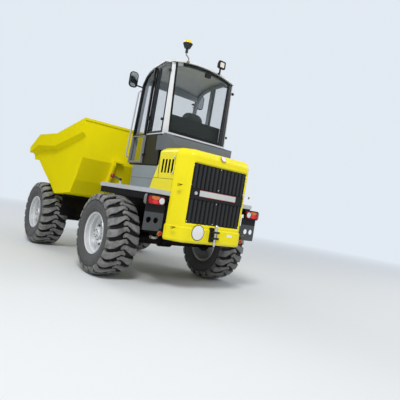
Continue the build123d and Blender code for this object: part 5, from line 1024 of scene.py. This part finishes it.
# Sill trims: a thin white strip under each side pane, from the rear post to the middle one.
TRIM_X, TRIM_Z, CAB_SIDE, CAB_TAPER = (-1.628, -1.150), (2.150, 2.166), 0.6052, 0.0741
TRIM_RINGS, TRIM_SUNK, TRIM_PROUD, TRIM_BEVEL = 5, -0.002, 0.0022, 0.002
trim_white = coated("trim_white", (0.74, 0.75, 0.76), 0.3, dust=0.03)
verts, faces = [], []
for side in (1, -1):
    faces += ring_faces(len(verts), TRIM_RINGS, 4)
    for i in range(TRIM_RINGS):
        x = TRIM_X[0] + (TRIM_X[1] - TRIM_X[0]) * i / (TRIM_RINGS - 1)
        flush = CAB_SIDE - CAB_TAPER * (x - TRIM_X[0])
        for proud, z in (
            (TRIM_SUNK, TRIM_Z[0]), (TRIM_PROUD, TRIM_Z[0] + TRIM_BEVEL),
            (TRIM_PROUD, TRIM_Z[1] - TRIM_BEVEL), (TRIM_SUNK, TRIM_Z[1]),
        ):
            verts.append((x, side * (flush + proud), z))
sill_trims = new_piece("sill_trims", verts, faces, trim_white)
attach(sill_trims, "rear_frame")

# Wiper: a small black motor case against the rear pane's top edge, under the work lamp.
MOTOR_X, MOTOR_Y, MOTOR_Z, MOTOR_CORNER = (-1.600, -1.560), (-0.135, -0.035), (3.185, 3.255), 0.014
motor = folded_plate("wiper_motor", *MOTOR_X, MOTOR_Y, MOTOR_Z, MOTOR_CORNER, dark_rubber)
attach(motor, "rear_frame")

# Cowl and low panels: dark grey moulded plastic over the hood's shoulders, and satin black panels
# below the side windows. The plated box under the floor is black.
SLOT_FOOT, SLOT_HALF = 2.128, 0.50


def cowl_colours(tree, place):
    """Dark grey, and the slot under the rear pane painted black as its shade."""
    # The slot is painted black on the cowl's top, as the shade in the gap under the rear pane.
    on_top = ramp(tree, coordinate(tree, place, "Z"), SLOT_FOOT, SLOT_FOOT + 0.001)
    slot = maths(tree, "MULTIPLY", on_top, ramp(tree, outward(tree, place), SLOT_HALF, SLOT_HALF - 0.001))
    return mixed(tree, slot, (0.120, 0.132, 0.145), (0.006, 0.006, 0.006))


cowl_plastic = coated("cowl_plastic", cowl_colours, 0.42, dust=0.04, dust_top=2.2, dust_foot=1.7,
                      grain=520.0, depth=0.0005, tone=0.05)
dress(cowl_plastic, "cab_sill")
panel_black = coated("panel_black", (0.014, 0.015, 0.014), 0.34, dust=0.02, gloss=0.04, tone=0.05,
                     specular=0.1)
dress(panel_black, "cab_panels")
dress(chassis_black, "cab_base")

# Cab's inside: a moulded floor and rear trim, and the console with its column and wheel.
cab_trim = coated("cab_trim", (0.013, 0.015, 0.015), 0.55, dust=0.05, dust_top=2.0, dust_foot=1.6,
                  grain=600.0, depth=0.0006)
dress(cab_trim, "cab_floor", "steering_column")

# Beacon: an amber dome on a black cup, turned up on a bent bright stem.
CUP_TOP, NECK_FOOT = 3.531, 3.392


def beacon_colours(tree, place):
    """Amber dome, black cup and neck, bright stem."""
    z = coordinate(tree, place, "Z")
    black = ramp(tree, z, NECK_FOOT, NECK_FOOT + 0.001)
    lower = mixed(tree, black, (0.24, 0.22, 0.18), (0.010, 0.012, 0.016))
    wave = add_node(tree, "ShaderNodeTexWave", {"Vector": place, "Scale": 60.0}, bands_direction="Z")
    dome = mixed(tree, wave.outputs["Fac"], (0.92, 0.56, 0.012), (0.95, 0.68, 0.06))
    return mixed(tree, ramp(tree, z, CUP_TOP, CUP_TOP + 0.001), lower, dome)


beacon_plastic = coated("beacon_plastic", beacon_colours, 0.18, dust=0.0, gloss=0.6)
dress(beacon_plastic, "beacon")

# Work lamp: a square black die-cast body with a bright faceted reflector behind its glass.
LENS_X, LENS_Y, LENS_Z, LENS_CORNER = (-1.689, -1.694), (-0.285, -0.205), (3.387, 3.463), 0.014
dress(dark_rubber, "work_lamps")


def reflector_bowl(tree, place):
    """Warm bright facets, painted on as the reflector's glints."""
    facets = add_node(tree, "ShaderNodeTexVoronoi", {"Vector": place, "Scale": 60.0}).outputs["Distance"]
    return mixed(tree, facets, (0.98, 0.93, 0.76), (0.62, 0.60, 0.54))


# The reflector behind the glass is not built; its glints are painted into the lens plate's colour.
work_lens = coated("work_lens", reflector_bowl, 0.12, dust=0.0, gloss=0.8, grain=70.0, depth=0.003)
lens = folded_plate("work_lamp_lens", *LENS_X, LENS_Y, LENS_Z, LENS_CORNER, work_lens)
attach(lens, "rear_frame")

# Mirrors: black moulded backs with the silvered glass set into the face that looks rearwards.
MIRROR_X, MIRROR_Y, MIRROR_Z = (-0.669, -0.6725), 0.690, 3.042
MIRROR_HALF_Y, MIRROR_HALF_Z, MIRROR_CORNER = 0.063, 0.113, 0.044
dress(dark_rubber, "mirrors")
silvered, tree, shader = new_material("silvered")
place = add_node(tree, "ShaderNodeTexCoord").outputs["Object"]
haze = ramp(tree, cloud(tree, place, 40.0), 0.4, 0.7, 0.02, 0.08)
tree.links.new(haze, shader.inputs["Roughness"])
tree.links.new(mixed(tree, haze, (0.34, 0.37, 0.38), (0.28, 0.30, 0.31)), shader.inputs["Base Color"])
shader.inputs["Metallic"].default_value = 1.0
panes = []
for side, word in ((1, "left"), (-1, "right")):
    pane_y = sorted((side * (MIRROR_Y - MIRROR_HALF_Y), side * (MIRROR_Y + MIRROR_HALF_Y)))
    pane_z = (MIRROR_Z - MIRROR_HALF_Z, MIRROR_Z + MIRROR_HALF_Z)
    panes.append(folded_plate(f"pane_{word}", *MIRROR_X, pane_y, pane_z, MIRROR_CORNER, silvered, 8))
mirror_glass = joined(*panes)
mirror_glass.name = "mirror_glass"
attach(mirror_glass, "rear_frame")

# Grab rails: bent aluminium tube, satin, on welded feet.
rail_metal = coated("rail_metal", (0.62, 0.63, 0.64), 0.30, dust=0.03, metal=0.6, grain=500.0, depth=0.0002)
dress(rail_metal, "grab_rails")

# Marker lamps: a red lens in a black rubber ball at the end of a rubber arm, on a bright bracket.
BRACKET_TOP, BRACKET_FRONT = 1.390, -0.980
LENS_INNER, LENS_REAR = 0.843, -0.803


def marker_colours(tree, place):
    """Bright bracket, black arm and ball, red lens on the ball's outer side."""
    x, z = coordinate(tree, place, "X"), coordinate(tree, place, "Z")
    low = ramp(tree, z, BRACKET_TOP, BRACKET_TOP - 0.001)
    bright = maths(tree, "MULTIPLY", low, ramp(tree, x, BRACKET_FRONT, BRACKET_FRONT - 0.001))
    plain = mixed(tree, bright, (0.013, 0.013, 0.014), (0.60, 0.60, 0.58))
    outer = ramp(tree, outward(tree, place), LENS_INNER, LENS_INNER + 0.002)
    lens = maths(tree, "MULTIPLY", outer, ramp(tree, x, LENS_REAR, LENS_REAR + 0.001))
    return mixed(tree, lens, plain, (0.55, 0.004, 0.02))


marker_rubber = coated("marker_rubber", marker_colours, 0.3, dust=0.1, gloss=0.3)
dress(marker_rubber, "marker_lamps")

# Seat: foam cushion and round-topped back under black vinyl, on a moulded pedestal. Each pad is blown
# up as cloth.
PAD_SWELL, PAD_FRAMES, PAD_VOXEL, PAD_HALF = 0.022, 20, 0.010, 0.22
# How far each ring of a pad stands in from its outline: at both faces, and next to them
FACE_INSET, EDGE_INSET, EDGE_DEPTH = 0.020, 0.004, 0.012
seat_vinyl = coated("seat_vinyl", (0.026, 0.032, 0.032), 0.48, dust=0.0, grain=700.0, depth=0.0008)


def pad_shape(name, outline, frame_at, depth):
    """A pad between two offset outlines, laid out in a turned frame."""
    rings = []
    for level, inset in (
        (0.0, FACE_INSET), (EDGE_DEPTH, EDGE_INSET), (depth - EDGE_DEPTH, EDGE_INSET), (depth, FACE_INSET),
    ):
        share = 1 - inset / PAD_HALF
        rings.append([frame_at(u * share, v * share, level) for u, v in outline])
    faces = ring_faces(0, len(rings), len(outline))
    return new_piece(name, [v for ring in rings for v in ring], faces, seat_vinyl)


def rounded_outline(half_u, half_v, corner):
    """A rounded rectangle about its middle, each corner bent in eight steps."""
    made = []
    for su, sv, start in ((1, 1, 0), (-1, 1, 90), (-1, -1, 180), (1, -1, 270)):
        for angle in (math.radians(start + 90 * i / 8) for i in range(9)):
            u = su * (half_u - corner) + corner * math.cos(angle)
            made.append((u, sv * (half_v - corner) + corner * math.sin(angle)))
    return made


def blown_up(pad):
    """Swell a pad as cloth under pressure, no point moving further than the cap, then smooth it once."""
    remesh = pad.modifiers.new("even", "REMESH")
    remesh.mode = "VOXEL"
    remesh.voxel_size = PAD_VOXEL
    bpy.context.view_layer.objects.active = pad
    bpy.ops.object.modifier_apply(modifier="even")
    start = [v.co.copy() for v in pad.data.vertices]
    cloth = pad.modifiers.new("cloth", "CLOTH")
    cloth.settings.use_pressure = True
    cloth.settings.uniform_pressure_force = 4.0
    cloth.settings.effector_weights.gravity = 0.0
    cloth.point_cache.frame_start, cloth.point_cache.frame_end = 1, PAD_FRAMES
    for step in range(1, PAD_FRAMES + 1):
        bpy.context.scene.frame_set(step)
    swollen = bpy.data.meshes.new_from_object(pad.evaluated_get(bpy.context.evaluated_depsgraph_get()))
    pad.modifiers.clear()
    for point, made, first in zip(pad.data.vertices, swollen.vertices, start):
        move = made.co - first
        if move.length > PAD_SWELL:
            move = move.normalized() * PAD_SWELL
        point.co = first + move
    bpy.data.meshes.remove(swollen)
    bpy.context.scene.frame_set(1)
    smooth = pad.modifiers.new("smooth", "SUBSURF")
    smooth.levels = smooth.render_levels = 1
    bpy.ops.object.modifier_apply(modifier="smooth")
    pad.data.shade_smooth()


CUSHION_MIDDLE, CUSHION_FOOT, CUSHION_DEPTH = (-1.260, 0.0), 2.034, 0.085
BACK_FOOT, BACK_LEAN, BACK_DEPTH = (-1.497, 0.0, 2.345), math.atan(0.08), 0.070
# Half of each pad's two sides, and its corners' radius
CUSHION_OUTLINE, BACK_OUTLINE = (0.185, 0.225, 0.07), (0.210, 0.280, 0.14)


def on_pedestal(u, v, level):
    """The cushion's own frame: forward, left and up."""
    return (CUSHION_MIDDLE[0] + u, CUSHION_MIDDLE[1] + v, CUSHION_FOOT + level)


def on_back(u, v, level):
    """The back's own frame: left, up its slope and forward."""
    x = BACK_FOOT[0] + level * math.cos(BACK_LEAN) - v * math.sin(BACK_LEAN)
    return (x, u, BACK_FOOT[2] + v * math.cos(BACK_LEAN) + level * math.sin(BACK_LEAN))


cushion = pad_shape("seat_cushion", rounded_outline(*CUSHION_OUTLINE), on_pedestal, CUSHION_DEPTH)
backrest = pad_shape("seat_back", rounded_outline(*BACK_OUTLINE), on_back, BACK_DEPTH)
for pad in (cushion, backrest):
    blown_up(pad)
    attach(pad, "rear_frame")
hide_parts("seat")
PEDESTAL_X, PEDESTAL_Y = (-1.400, -1.140), (-0.160, 0.160)
# Each ring's height and how far it stands in
PEDESTAL_RINGS = ((1.722, 0.0), (1.742, 0.004), (1.80, 0.03), (1.96, 0.03), (2.030, 0.0))
verts = []
for z, inset in PEDESTAL_RINGS:
    (rear, front), (right, left) = ((low + inset, high - inset) for low, high in (PEDESTAL_X, PEDESTAL_Y))
    verts += [(rear, right, z), (front, right, z), (front, left, z), (rear, left, z)]
pedestal = new_piece("seat_pedestal", verts, ring_faces(0, len(PEDESTAL_RINGS), 4), cab_trim)
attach(pedestal, "rear_frame")
